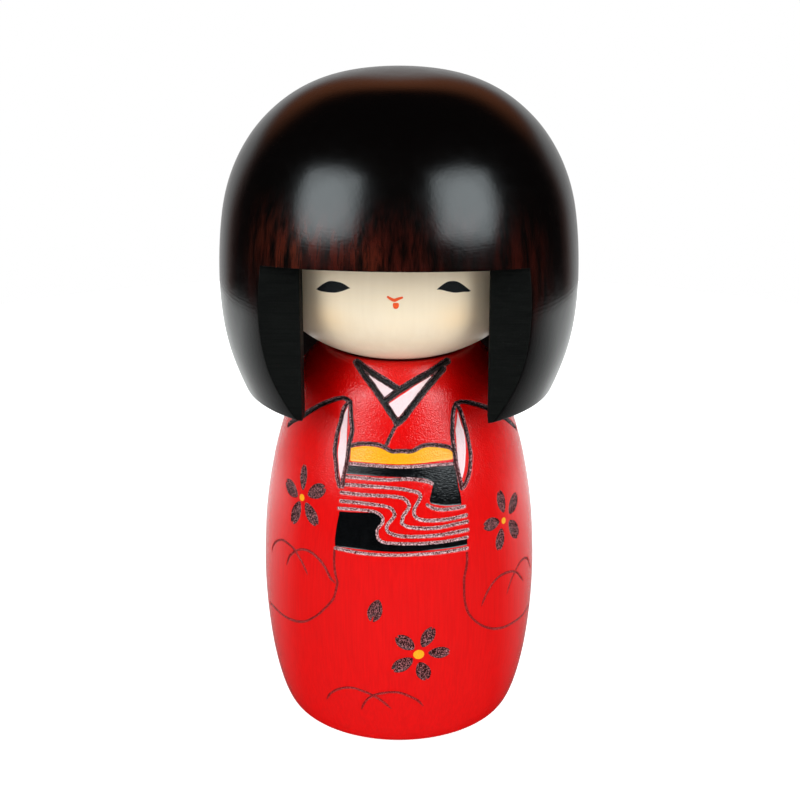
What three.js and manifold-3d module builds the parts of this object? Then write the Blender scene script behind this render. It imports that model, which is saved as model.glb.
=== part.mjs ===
// A turned wooden kokeshi doll: a barrel body with carved kimono, a separate head that turns on a dowel,
// made of a pale face block plugged into a bored hair cap whose front is cut away.
// Millimetres. +Z up, -Y is the front of the doll. Origin: centre of the flat foot.
import * as THREE from 'three';
import { mergeVertices } from 'three/addons/utils/BufferGeometryUtils.js';
import Module from 'manifold-3d';

// ---- driving dimensions ----
const SEG = 64;                 // facets round every large turned piece
const GAP = 0.3;                // clearance between neighbouring pieces

const HEAD_YAW_DEG = -1.8;      // the head stands turned a little to the doll's right
const HEIGHT = 150;             // foot to crown

// body: outer profile [radius, height], foot to shoulder lip, then down the dished seat to the dowel bore
const BODY_OUTER = [
  [23.4, 0.0], [24.7, 0.35], [25.75, 0.95], [26.55, 2.0], [27.3, 3.6], [28.1, 5.9], [29.0, 9.3], [29.93, 14.0],
  [30.74, 20.2], [31.36, 28.0], [31.52, 36.0], [31.3, 42.0], [30.93, 48.0], [30.35, 53.0], [29.55, 58.0],
  [28.45, 63.5], [27.0, 69.0], [25.6, 73.6], [24.55, 77.1], [23.65, 80.1], [22.95, 82.3], [22.3, 84.0],
  [21.4, 85.4], [20.2, 86.6], [19.2, 87.5], [18.55, 88.4], [18.1, 89.4], [17.8, 90.2], [17.2, 90.7], [16.5, 90.5],
  [15.6, 90.05], [14.0, 89.4], [12.0, 88.85], [9.0, 88.15],
];
const BODY_TOP = 87.75;         // height of the dish at the edge of the dowel bore
// neck dowel and the two blind bores it sits in
const DOWEL_R = 6.0;
const DOWEL_BOTTOM = 66.0;
const DOWEL_TOP = 103.0;
const DOWEL_CHAMFER = 0.6;
const BORE_R = DOWEL_R + GAP;

// face block: domed chin below the cheek line, straight sides above it
const FACE_R = 28.14;
const CHEEK_Z = 105.47;         // height at which the chin dome meets the straight side
const CHIN_DROP = 17.69;        // depth of the dome
const CHIN_POWER = 2.1;         // 2 would be an ellipse; slightly squarer
const FACE_TOP = 124.7;

// hair cap: outer profile from the rim to the crown
const HAIR_OUTER = [
  [34.75, 80.6], [35.45, 82.2], [36.35, 84.5], [37.72, 88.5], [38.76, 92.8], [39.4, 97.0], [39.76, 101.3],
  [39.86, 105.6], [39.76, 110.0], [39.5, 114.3], [39.05, 118.6], [38.35, 122.9], [37.22, 127.0], [35.62, 131.0],
  [33.55, 134.8], [31.05, 138.3], [28.1, 141.4], [24.76, 144.15], [21.07, 146.4], [17.1, 148.1], [12.95, 149.2],
  [8.65, 149.77], [4.33, 149.96],
];
const SOCKET_R = FACE_R + GAP;  // bore for the face block, open from the rim up
const RIM_INNER_Z = 79.2;       // the rim slopes down a little from the outside to the bore
const SOCKET_TOP = FACE_TOP + GAP;
// the front cut: flat saw cuts leave the fringe and the two side locks, with a straight window between the locks
const WINDOW_HALF = 19.87;      // half the width of the window
const LOCK_FACE_Y = -27.79;     // plane of the flat fronts of the side locks
const FRINGE_Z_AT_LOCK = 114.99;
const FRINGE_SLOPE = 0.2127;    // the fringe's underside rises towards the front

// ---- helpers ----
const DEG = Math.PI / 180;

function revolve(points, segments) {
  const lathe = new THREE.LatheGeometry(points.map(([r, z]) => new THREE.Vector2(r, z)), segments);
  lathe.rotateX(Math.PI / 2);
  lathe.deleteAttribute('normal');
  lathe.deleteAttribute('uv');
  return dropSlivers(mergeVertices(lathe, 1e-5));
}

// the fans at the axis leave triangles with two equal corners; they are dropped
function dropSlivers(geometry) {
  const old = geometry.index.array;
  const kept = [];
  for (let i = 0; i < old.length; i += 3) {
    const [a, b, c] = [old[i], old[i + 1], old[i + 2]];
    if (a !== b && b !== c && c !== a) kept.push(a, b, c);
  }
  geometry.setIndex(kept);
  return geometry;
}

const wasm = await Module();
wasm.setup();

function toSolid(geometry) {
  const g = geometry.clone();
  for (const name of Object.keys(g.attributes)) if (name !== 'position') g.deleteAttribute(name);
  const merged = dropSlivers(mergeVertices(g, 1e-5));
  return new wasm.Manifold(new wasm.Mesh({
    numProp: 3,
    vertProperties: new Float32Array(merged.attributes.position.array),
    triVerts: new Uint32Array(merged.index.array),
  }));
}

function toGeometry(solid) {
  const mesh = solid.getMesh();
  const g = new THREE.BufferGeometry();
  g.setAttribute('position', new THREE.BufferAttribute(new Float32Array(mesh.vertProperties), 3));
  g.setIndex(new THREE.BufferAttribute(new Uint32Array(mesh.triVerts), 1));
  g.computeVertexNormals();
  return g;
}

function piece(name, geometry, color, roughness) {
  if (!geometry.attributes.normal) geometry.computeVertexNormals();
  const mesh = new THREE.Mesh(geometry, new THREE.MeshStandardMaterial({ color, roughness, metalness: 0 }));
  mesh.name = name;
  return mesh;
}

// ---- kimono body ----
function bodyGeometry() {
  const p = [[0, 0], ...BODY_OUTER, [BORE_R, BODY_TOP], [BORE_R, DOWEL_BOTTOM - GAP], [0, DOWEL_BOTTOM - GAP]];
  return revolve(p, SEG);
}

// ---- neck dowel ----
function dowelGeometry() {
  return revolve([
    [0, DOWEL_BOTTOM], [DOWEL_R - DOWEL_CHAMFER, DOWEL_BOTTOM], [DOWEL_R, DOWEL_BOTTOM + DOWEL_CHAMFER],
    [DOWEL_R, DOWEL_TOP - DOWEL_CHAMFER], [DOWEL_R - DOWEL_CHAMFER, DOWEL_TOP], [0, DOWEL_TOP],
  ], 32);
}

// ---- face block ----
function chinZ(r) {
  return CHEEK_Z - CHIN_DROP * Math.pow(1 - Math.pow(r / FACE_R, CHIN_POWER), 1 / CHIN_POWER);
}
function faceGeometry() {
  const p = [[0, DOWEL_TOP + GAP], [BORE_R, DOWEL_TOP + GAP], [BORE_R, chinZ(BORE_R)]];
  for (const r of [9, 12, 15, 17.8, 20.3, 22.5, 24.4, 25.9, 27.0, 27.75]) p.push([r, chinZ(r)]);
  p.push([FACE_R, CHEEK_Z], [FACE_R, FACE_TOP - 0.5], [FACE_R - 0.5, FACE_TOP], [0, FACE_TOP]);
  return revolve(p, SEG);
}

// ---- hair cap ----
function hairGeometry() {
  const p = [
    [0, SOCKET_TOP], [SOCKET_R, SOCKET_TOP], [SOCKET_R, RIM_INNER_Z], ...HAIR_OUTER, [0, HEIGHT],
  ];
  const dome = toSolid(revolve(p, SEG));
  // the sawn-away front, as two prisms across the doll
  const reach = 60;
  const fringeZ = (y) => FRINGE_Z_AT_LOCK + FRINGE_SLOPE * (LOCK_FACE_Y - y);
  // below the fringe and in front of the side locks
  const front = prismAcross([
    [LOCK_FACE_Y, 60], [LOCK_FACE_Y, FRINGE_Z_AT_LOCK], [-reach, fringeZ(-reach)], [-reach, 60],
  ], reach);
  // the window between the side locks, back into the bore
  const window = prismAcross([
    [0, 60], [0, FRINGE_Z_AT_LOCK], [LOCK_FACE_Y - 2, FRINGE_Z_AT_LOCK], [LOCK_FACE_Y - 2, 60],
  ], WINDOW_HALF);
  return toGeometry(dome.subtract(front).subtract(window));
}

// a prism with the outline given as [y, z] points, reaching from -halfWidth to +halfWidth in x
function prismAcross(outline, halfWidth) {
  const shape = new THREE.Shape(outline.map(([y, z]) => new THREE.Vector2(y, z)));
  const prism = new THREE.ExtrudeGeometry(shape, { depth: 2 * halfWidth, bevelEnabled: false });
  // shape x -> world y, shape y -> world z, extrusion -> world x
  prism.applyMatrix4(new THREE.Matrix4().set(
    0, 0, 1, -halfWidth,
    1, 0, 0, 0,
    0, 1, 0, 0,
    0, 0, 0, 1,
  ));
  return toSolid(prism);
}

// ---- assembly ----
const group = new THREE.Group();
group.add(piece('kimono_body', bodyGeometry(), 0xd8100c, 0.35));
group.add(piece('neck_dowel', dowelGeometry(), 0xd9bd8c, 0.6));
const head = new THREE.Group();
head.rotation.z = HEAD_YAW_DEG * DEG;
head.add(piece('face_block', faceGeometry(), 0xf0e4cd, 0.45));
head.add(piece('hair_cap', hairGeometry(), 0x120a08, 0.25));
group.add(head);

export default group;
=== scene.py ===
# Kokeshi doll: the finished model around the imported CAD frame.
# Blender units are metres; lengths below are millimetres unless a name says otherwise.
# +Z up, -Y is the doll's front, +X is to the right as the doll is faced.
import math
import bpy, bmesh
import numpy as np
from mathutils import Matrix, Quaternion, Vector


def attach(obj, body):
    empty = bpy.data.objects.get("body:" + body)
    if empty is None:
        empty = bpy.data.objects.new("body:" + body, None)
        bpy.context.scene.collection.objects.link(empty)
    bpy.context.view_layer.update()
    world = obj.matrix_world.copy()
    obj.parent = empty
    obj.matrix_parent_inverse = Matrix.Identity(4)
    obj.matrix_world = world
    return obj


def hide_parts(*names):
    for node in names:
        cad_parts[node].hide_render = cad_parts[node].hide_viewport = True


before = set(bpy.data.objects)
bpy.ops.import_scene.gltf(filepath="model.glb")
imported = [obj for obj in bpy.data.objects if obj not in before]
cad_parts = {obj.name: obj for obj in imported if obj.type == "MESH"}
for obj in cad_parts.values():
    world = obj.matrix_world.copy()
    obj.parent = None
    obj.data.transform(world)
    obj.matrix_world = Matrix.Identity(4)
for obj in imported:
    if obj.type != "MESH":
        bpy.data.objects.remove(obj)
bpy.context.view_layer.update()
MM = 0.001

# ------------------------------------------------------------------ dimensions, as in the CAD model
HEAD_YAW = -1.8
HEIGHT = 150.0
BODY_OUTER = [
    [23.4, 0.0], [24.7, 0.35], [25.75, 0.95], [26.55, 2.0], [27.3, 3.6], [28.1, 5.9], [29.0, 9.3], [29.93, 14.0],
    [30.74, 20.2], [31.36, 28.0], [31.52, 36.0], [31.3, 42.0], [30.93, 48.0], [30.35, 53.0], [29.55, 58.0],
    [28.45, 63.5], [27.0, 69.0], [25.6, 73.6], [24.55, 77.1], [23.65, 80.1], [22.95, 82.3], [22.3, 84.0],
    [21.4, 85.4], [20.2, 86.6], [19.2, 87.5], [18.55, 88.4], [18.1, 89.4], [17.8, 90.2], [17.2, 90.7], [16.5, 90.5],
    [15.6, 90.05], [14.0, 89.4], [12.0, 88.85], [9.0, 88.15]]
BODY_TOP = 87.75
DOWEL_R, DOWEL_BOTTOM, DOWEL_TOP, DOWEL_CHAMFER = 6.0, 66.0, 103.0, 0.6
BORE_R = 6.3
FACE_R, CHEEK_Z, CHIN_DROP, CHIN_POWER, FACE_TOP = 28.14, 105.47, 17.69, 2.1, 124.7
HAIR_OUTER = [
    [34.75, 80.6], [35.45, 82.2], [36.35, 84.5], [37.72, 88.5], [38.76, 92.8], [39.4, 97.0], [39.76, 101.3],
    [39.86, 105.6], [39.76, 110.0], [39.5, 114.3], [39.05, 118.6], [38.35, 122.9], [37.22, 127.0], [35.62, 131.0],
    [33.55, 134.8], [31.05, 138.3], [28.1, 141.4], [24.76, 144.15], [21.07, 146.4], [17.1, 148.1], [12.95, 149.2],
    [8.65, 149.77], [4.33, 149.96], [0.0, 150.0]]
RIM_Z, RIM_INNER_Z = 80.6, 79.2
WINDOW_HALF, CEILING_Z = 19.87, 114.99
SOCKET_R, SOCKET_TOP = 28.44, 125.0
LOCK_Y = -27.79
FRINGE_SLOPE = 0.2127

# ------------------------------------------------------------------ carved and painted lines of the kimono
# each point: angle from the front in degrees (+ to the right), height, and half the width of the cut
LINES = {
    'collar_in_l': [(-31.9, 89.79, 0.63), (-23.5, 88.85, 0.61), (-15.6, 87.85, 0.61), (-10.7, 87.20, 0.64), (-8.4, 86.88, 0.65), (-6.2, 86.56, 0.65), (-0.0, 85.50, 0.63)],
    'collar_out_l': [(-31.9, 89.79, 0.65), (-25.6, 88.19, 0.60), (-21.4, 87.22, 0.59), (-17.4, 86.30, 0.59), (-14.0, 85.32, 0.58), (-9.7, 83.65, 0.59), (-8.4, 83.04, 0.59), (-5.1, 81.33, 0.59), (-1.0, 78.98, 0.58)],
    'collar_in_r': [(37.1, 89.68, 0.66), (31.1, 89.18, 0.65), (25.5, 88.64, 0.63), (17.6, 87.77, 0.64), (12.7, 87.20, 0.67), (8.1, 86.62, 0.67), (3.9, 86.00, 0.67), (-0.0, 85.32, 0.65), (-3.5, 84.47, 0.64), (-8.4, 83.04, 0.63)],
    'collar_out_r': [(31.3, 88.54, 0.66), (26.6, 87.63, 0.63), (22.0, 86.79, 0.63), (19.9, 86.36, 0.63), (16.1, 85.45, 0.63), (12.8, 84.45, 0.63), (8.5, 82.78, 0.63), (5.8, 81.60, 0.63), (2.0, 79.79, 0.63), (-1.0, 78.79, 0.63)],
    'collar_tail': [(-1.0, 78.79, 0.35), (-3.1, 77.10, 0.35), (-6.1, 74.35, 0.35)],
    'white_l': [(-26.0, 88.80), (-20.9, 88.14), (-13.7, 87.17), (-9.3, 86.53), (-3.4, 85.49), (-8.6, 84.19), (-13.4, 85.83), (-17.3, 86.80), (-21.6, 87.75)],
    'white_r': [(20.5, 87.22), (13.5, 86.37), (9.3, 85.75), (0.1, 83.90), (-5.0, 82.60), (-0.5, 80.27), (2.1, 81.49), (7.7, 83.86), (14.3, 85.91), (18.3, 86.80)],
    'shoulder_l': [(-27.6, 82.28, 0.49), (-29.3, 82.63, 0.49), (-30.9, 82.76, 0.48), (-32.6, 82.79, 0.47), (-34.1, 82.66, 0.47), (-35.5, 82.44, 0.48), (-37.3, 82.12, 0.48), (-42.8, 80.98, 0.50), (-47.0, 79.92, 0.53), (-51.3, 78.68, 0.58), (-55.9, 77.24, 0.60), (-59.6, 75.86, 0.60), (-67.3, 73.87, 0.60), (-73.0, 71.91, 0.60)],
    'shoulder_r': [(32.6, 81.59, 0.48), (34.4, 81.69, 0.48), (36.1, 81.71, 0.47), (38.6, 81.49, 0.47), (41.1, 81.14, 0.48), (45.5, 80.35, 0.50), (52.4, 78.92, 0.53), (54.8, 78.36, 0.57), (60.1, 76.94, 0.60), (68.7, 74.32, 0.60), (74.4, 72.45, 0.60), (83.6, 69.27, 0.60)],
    'slit_l': [(-28.3, 81.39), (-26.4, 73.40), (-26.0, 70.37), (-26.0, 68.05), (-26.2, 67.27), (-26.6, 66.59), (-27.2, 65.91), (-28.6, 67.84), (-30.2, 70.79), (-30.5, 71.53), (-30.6, 72.30), (-30.5, 73.85), (-30.8, 76.12), (-30.4, 78.56), (-30.1, 79.37), (-29.6, 80.05)],
    'slit_r': [(32.7, 79.95), (33.6, 77.04), (34.5, 75.81), (34.6, 74.26), (34.3, 72.74), (33.7, 71.24), (32.0, 68.30), (30.8, 66.85), (29.3, 65.59), (28.9, 67.03), (28.7, 69.38), (28.9, 71.66), (29.4, 73.94), (29.7, 76.20), (30.7, 77.28)],
    'slitg_l1': [(-27.6, 82.28, 0.39), (-29.2, 81.69, 0.39), (-30.5, 81.03, 0.41), (-31.0, 80.26, 0.42), (-31.3, 79.48, 0.42), (-31.6, 77.91, 0.42), (-32.4, 75.55, 0.42), (-32.6, 73.23, 0.42), (-32.5, 72.48, 0.42), (-32.1, 71.09, 0.42), (-30.8, 69.20, 0.42), (-29.0, 66.10, 0.42), (-27.4, 64.36, 0.42)],
    'slitg_l2': [(-27.5, 82.24, 0.43), (-26.6, 80.80, 0.43), (-25.9, 79.34, 0.43), (-24.5, 77.15, 0.43), (-24.3, 76.40, 0.43), (-24.6, 74.89, 0.43), (-24.9, 74.13, 0.43), (-25.1, 72.64, 0.43), (-25.1, 70.42, 0.43), (-25.3, 68.85, 0.43), (-25.8, 67.19, 0.43), (-26.0, 65.74, 0.43), (-26.0, 64.48, 0.43)],
    'slitg_r1': [(32.6, 81.59, 0.43), (31.5, 81.15, 0.43), (30.6, 80.66, 0.43), (29.9, 79.88, 0.43), (29.3, 79.08, 0.43), (27.9, 76.13, 0.43), (27.7, 75.47, 0.43), (27.5, 74.16, 0.43), (27.7, 72.23, 0.43), (27.6, 71.55, 0.43), (27.6, 69.48, 0.43), (27.9, 68.05, 0.43), (29.1, 63.85, 0.43)],
    'slitg_r2': [(32.6, 81.59, 0.42), (33.6, 80.85, 0.42), (34.4, 80.09, 0.42), (35.2, 78.48, 0.42), (35.9, 76.15, 0.42), (36.3, 74.05, 0.42), (36.4, 71.95, 0.42), (36.2, 70.54, 0.42), (36.0, 69.85, 0.42), (34.8, 67.85, 0.42), (33.7, 66.56, 0.42), (32.9, 65.84, 0.42), (31.0, 64.49, 0.42), (30.1, 64.15, 0.42), (29.1, 63.85, 0.42)],
    'yellow': [(-23.5, 72.83), (-17.9, 73.42), (-16.0, 73.54), (-14.1, 73.59), (-12.2, 73.57), (-10.3, 73.47), (-8.6, 73.27), (-5.4, 72.76), (-3.7, 72.60), (-0.3, 72.49), (3.0, 72.48), (6.4, 72.56), (8.0, 72.73), (9.5, 73.01), (11.1, 73.23), (13.0, 73.38), (14.9, 73.46), (16.9, 73.42), (20.8, 73.04), (22.7, 72.74), (24.6, 72.36), (25.9, 71.85), (26.7, 71.18), (26.2, 70.42), (20.5, 70.52), (15.1, 70.51), (3.0, 70.36), (-12.3, 70.46), (-17.7, 70.40), (-23.2, 70.24)],
    'sash_top': [(-24.9, 73.13, 0.39), (-21.7, 73.73, 0.39), (-20.0, 73.95, 0.39), (-16.7, 74.16, 0.39), (-15.0, 74.20, 0.39), (-11.8, 74.21, 0.39), (-10.3, 74.15, 0.39), (-7.5, 73.83, 0.39), (-6.2, 73.55, 0.39), (-5.0, 73.22, 0.39), (-3.7, 72.99, 0.39), (-1.9, 72.93, 0.39), (1.8, 73.01, 0.39), (4.9, 72.91, 0.39), (6.4, 72.95, 0.39), (8.0, 73.21, 0.39), (9.6, 73.56, 0.39), (11.2, 73.83, 0.39), (12.6, 73.95, 0.39), (14.0, 73.99, 0.39), (15.5, 73.96, 0.39), (17.3, 73.86, 0.39), (21.0, 73.51, 0.39), (24.2, 73.09, 0.39), (25.6, 72.85, 0.39), (26.7, 72.50, 0.41), (27.6, 71.82, 0.43), (27.8, 71.05, 0.43), (27.7, 70.33, 0.43), (27.3, 69.61, 0.43)],
    'sash_bot': [(-24.6, 69.50, 0.31), (-20.9, 69.63, 0.31), (-11.8, 69.78, 0.31), (0.6, 69.69, 0.30), (11.0, 69.71, 0.31), (18.0, 69.62, 0.31), (27.0, 69.32, 0.31)],
    'obi_up': [(-24.8, 69.23), (-19.1, 69.45), (-13.6, 69.53), (9.7, 69.50), (17.1, 69.43), (21.0, 69.33), (26.9, 69.07), (27.3, 68.35), (27.3, 65.55), (27.5, 63.99), (28.1, 62.28), (28.2, 60.83), (28.0, 60.25), (21.6, 60.57), (20.1, 60.69), (18.5, 60.87), (13.8, 61.56), (13.4, 62.27), (13.7, 62.97), (14.6, 64.33), (15.6, 66.14), (12.8, 66.77), (11.4, 67.00), (8.3, 67.25), (1.9, 67.48), (-3.0, 67.58), (-14.6, 67.55), (-19.6, 67.45), (-24.8, 67.27)],
    'obi_lo': [(-26.3, 58.97), (-12.0, 59.70), (-10.6, 59.68), (-9.3, 59.52), (-8.2, 59.17), (-7.5, 58.76), (-7.0, 58.24), (-7.2, 57.74), (-7.7, 57.27), (-9.4, 56.01), (-9.6, 55.28), (-9.4, 54.56), (-8.8, 54.04), (-8.0, 53.62), (-6.9, 53.28), (-5.7, 53.07), (-2.8, 52.91), (24.7, 52.63), (29.7, 52.48), (29.5, 51.00), (23.0, 51.04), (14.7, 51.19), (1.7, 51.14), (-15.1, 51.20), (-21.9, 51.10), (-27.2, 50.89), (-27.5, 51.41), (-27.6, 52.77), (-27.1, 55.97)],
    'obi_bot': [(-27.2, 50.50, 0.32), (-23.9, 50.51, 0.32), (-14.7, 50.35, 0.31), (4.7, 50.44, 0.31), (26.1, 50.31, 0.32), (29.4, 50.24, 0.32)],
    'strA': [(-25.2, 66.66, 0.33), (-19.8, 66.84, 0.33), (-16.2, 66.91, 0.33), (-6.3, 66.92, 0.33), (0.7, 67.08, 0.33), (4.2, 67.10, 0.33), (6.0, 67.05, 0.33), (8.9, 66.83, 0.33), (13.3, 66.25, 0.33), (15.0, 65.81, 0.33)],
    'strA2': [(12.3, 61.39, 0.30), (13.4, 60.94, 0.30), (14.6, 60.55, 0.31), (17.2, 60.10, 0.31), (18.5, 59.96, 0.31), (22.1, 59.81, 0.32), (29.5, 59.74, 0.32)],
    'strB': [(-25.8, 64.97, 0.33), (-17.6, 65.28, 0.33), (-9.4, 65.36, 0.33), (-2.7, 65.21, 0.33), (0.8, 65.04, 0.33), (4.1, 64.78, 0.33), (5.7, 64.60, 0.33), (7.3, 64.37, 0.33), (8.3, 64.17, 0.33), (9.1, 63.84, 0.33), (9.4, 63.39, 0.33), (9.3, 62.91, 0.33), (6.8, 60.89, 0.33), (6.4, 60.17, 0.33), (6.4, 59.53, 0.33), (7.0, 58.97, 0.33), (8.2, 58.46, 0.33), (9.7, 58.15, 0.33), (11.4, 57.97, 0.33), (16.3, 57.75, 0.34), (22.2, 57.64, 0.34), (30.0, 57.74, 0.35)],
    'strC': [(-26.3, 63.17, 0.34), (-20.9, 63.29, 0.33), (-7.7, 63.48, 0.33), (-3.2, 63.43, 0.33), (-0.4, 63.30, 0.33), (1.0, 63.17, 0.33), (2.3, 62.90, 0.33), (3.4, 62.46, 0.33), (4.0, 61.95, 0.33), (4.5, 61.38, 0.33), (3.3, 60.22, 0.33), (2.4, 59.65, 0.33), (1.7, 59.05, 0.33), (1.4, 58.35, 0.33), (1.2, 57.62, 0.33), (2.2, 57.21, 0.33), (3.2, 56.88, 0.33), (4.7, 56.66, 0.34), (6.3, 56.52, 0.34), (10.6, 56.26, 0.34), (13.3, 56.15, 0.34), (16.2, 56.11, 0.34), (25.2, 56.24, 0.35), (30.2, 56.24, 0.35)],
    'strD': [(-26.1, 61.27, 0.34), (-19.6, 61.53, 0.34), (-16.5, 61.56, 0.34), (-13.6, 61.53, 0.34), (-7.9, 61.36, 0.33), (-6.4, 61.27, 0.33), (-5.0, 61.13, 0.33), (-3.8, 60.89, 0.33), (-2.7, 60.47, 0.33), (-2.1, 59.91, 0.33), (-1.8, 59.29, 0.33), (-3.1, 58.31, 0.33), (-4.1, 57.73, 0.33), (-4.9, 57.09, 0.33), (-5.2, 56.48, 0.33), (-4.9, 55.89, 0.33), (-4.1, 55.46, 0.34), (-3.1, 55.19, 0.34), (-1.7, 54.98, 0.34), (-0.4, 54.83, 0.34), (2.3, 54.66, 0.34), (7.7, 54.48, 0.34), (17.0, 54.38, 0.34), (22.8, 54.42, 0.35), (30.2, 54.40, 0.35)],
    'strE': [(-26.9, 59.62, 0.29), (-21.4, 59.90, 0.29), (-14.7, 60.06, 0.29), (-11.6, 59.99, 0.29), (-10.0, 59.84, 0.29), (-8.5, 59.52, 0.29), (-7.4, 59.08, 0.29), (-6.8, 58.49, 0.29), (-6.8, 57.88, 0.28), (-7.2, 57.28, 0.28), (-8.2, 56.67, 0.28), (-9.0, 56.03, 0.28), (-9.2, 55.17, 0.29), (-8.9, 54.33, 0.29), (-8.2, 53.77, 0.30), (-7.1, 53.40, 0.30), (-5.9, 53.23, 0.30), (-4.7, 53.15, 0.30), (-2.1, 53.08, 0.30), (10.7, 52.86, 0.30), (29.7, 52.73, 0.31)],
    'sleeve_l': [(-27.6, 49.90, 0.33), (-27.4, 46.52, 0.34), (-26.5, 43.74, 0.35), (-25.8, 42.63, 0.33), (-26.0, 41.74, 0.32), (-27.1, 39.14, 0.31), (-27.7, 38.31, 0.30), (-29.6, 36.81, 0.29), (-33.2, 34.48, 0.29), (-34.6, 33.63, 0.29), (-36.2, 32.80, 0.29), (-39.7, 31.26, 0.29), (-41.6, 30.55, 0.30), (-43.3, 30.07, 0.32), (-45.1, 29.65, 0.35), (-46.9, 29.31, 0.36), (-49.2, 29.00, 0.36), (-53.8, 28.56, 0.36), (-56.2, 28.43, 0.36), (-66.7, 28.13, 0.36), (-70.1, 27.89, 0.36), (-74.7, 27.28, 0.36)],
    'sleeve_r': [(29.1, 49.16, 0.34), (29.1, 47.74, 0.34), (28.9, 46.33, 0.35), (27.6, 43.59, 0.34), (27.5, 42.88, 0.34), (27.6, 38.45, 0.33), (28.1, 36.73, 0.33), (28.6, 35.75, 0.32), (29.3, 34.78, 0.31), (30.3, 33.86, 0.30), (31.5, 32.97, 0.29), (32.9, 32.10, 0.29), (35.8, 30.63, 0.29), (37.4, 29.95, 0.30), (39.2, 29.33, 0.30), (41.1, 28.75, 0.32), (43.1, 28.25, 0.34), (45.4, 27.81, 0.36), (47.8, 27.45, 0.36), (50.2, 27.17, 0.36), (52.3, 27.00, 0.36), (64.1, 26.33, 0.36), (66.8, 26.22, 0.36), (73.1, 26.21, 0.36), (78.0, 25.73, 0.36)],
    'cl1': [(-69.0, 41.73, 0.33), (-68.0, 43.33, 0.33), (-66.9, 44.21, 0.33), (-64.6, 45.38, 0.33), (-61.8, 46.44, 0.31), (-59.6, 47.03, 0.29), (-57.5, 47.37, 0.33), (-55.4, 47.42, 0.33), (-51.7, 47.20, 0.33), (-50.0, 46.99, 0.33), (-48.8, 46.66, 0.33), (-47.7, 46.28, 0.33), (-45.6, 45.39, 0.33), (-43.6, 44.36, 0.33), (-41.6, 42.95, 0.33), (-40.7, 42.22, 0.33)],
    'cl2': [(-54.4, 41.92, 0.36), (-53.2, 43.61, 0.36), (-52.4, 44.45, 0.36), (-50.9, 45.40, 0.36), (-49.1, 46.27, 0.32), (-47.3, 47.00, 0.29), (-45.3, 47.56, 0.30), (-43.1, 47.90, 0.33), (-41.1, 48.01, 0.35), (-39.3, 47.93, 0.36), (-37.7, 47.69, 0.36), (-36.3, 47.36, 0.36), (-35.0, 46.97, 0.36), (-33.8, 46.53, 0.36), (-32.9, 46.11, 0.36), (-31.4, 45.15, 0.36), (-29.0, 43.14, 0.36), (-27.9, 42.66, 0.36), (-26.7, 42.24, 0.35)],
    'cr1': [(35.9, 35.30, 0.33), (37.3, 36.87, 0.33), (38.1, 37.64, 0.33), (39.9, 38.90, 0.33), (40.9, 39.42, 0.33), (42.0, 39.88, 0.33), (43.2, 40.29, 0.33), (44.5, 40.60, 0.33), (46.0, 40.81, 0.33), (47.7, 40.92, 0.33), (50.1, 40.89, 0.33), (52.7, 40.63, 0.33), (55.0, 40.24, 0.29), (57.4, 39.61, 0.28), (59.1, 38.91, 0.33), (60.6, 38.11, 0.33), (65.1, 35.48, 0.33)],
    'cr2': [(50.9, 35.42, 0.32), (52.1, 36.69, 0.32), (53.5, 37.90, 0.32), (54.3, 38.43, 0.32), (55.3, 38.93, 0.32), (57.7, 39.92, 0.32), (59.1, 40.41, 0.32), (60.8, 40.80, 0.32), (62.9, 41.04, 0.32), (65.9, 40.95, 0.32), (70.8, 39.75, 0.32), (72.3, 38.60, 0.32), (74.1, 37.37, 0.32), (76.4, 35.99, 0.32)],
    'cb1': [(-34.5, 10.67, 0.32), (-32.1, 12.67, 0.30), (-30.2, 13.67, 0.31), (-28.3, 14.47, 0.33), (-26.7, 14.99, 0.34), (-25.1, 15.41, 0.34), (-23.6, 15.74, 0.34), (-22.2, 15.94, 0.34), (-20.9, 16.06, 0.34), (-19.7, 16.10, 0.34), (-18.0, 15.97, 0.34), (-13.4, 15.29, 0.34), (-10.5, 14.56, 0.34), (-9.1, 14.09, 0.34), (-7.7, 13.54, 0.34), (-5.5, 12.44, 0.34), (-3.4, 11.27, 0.34)],
    'cb2': [(-17.0, 10.17, 0.30), (-16.4, 11.13, 0.30), (-15.6, 12.04, 0.30), (-14.7, 12.89, 0.30), (-13.6, 13.63, 0.32), (-12.1, 14.36, 0.34), (-10.5, 14.93, 0.34), (-9.3, 15.24, 0.34), (-6.9, 15.67, 0.34), (-4.0, 15.98, 0.34), (-2.6, 16.04, 0.34), (-1.4, 16.03, 0.34), (-0.2, 15.96, 0.34), (0.9, 15.80, 0.34), (2.2, 15.54, 0.34), (5.8, 14.43, 0.34), (7.0, 14.02, 0.34), (8.2, 13.52, 0.34), (9.1, 12.96, 0.32), (10.9, 11.68, 0.32)],
}


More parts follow.
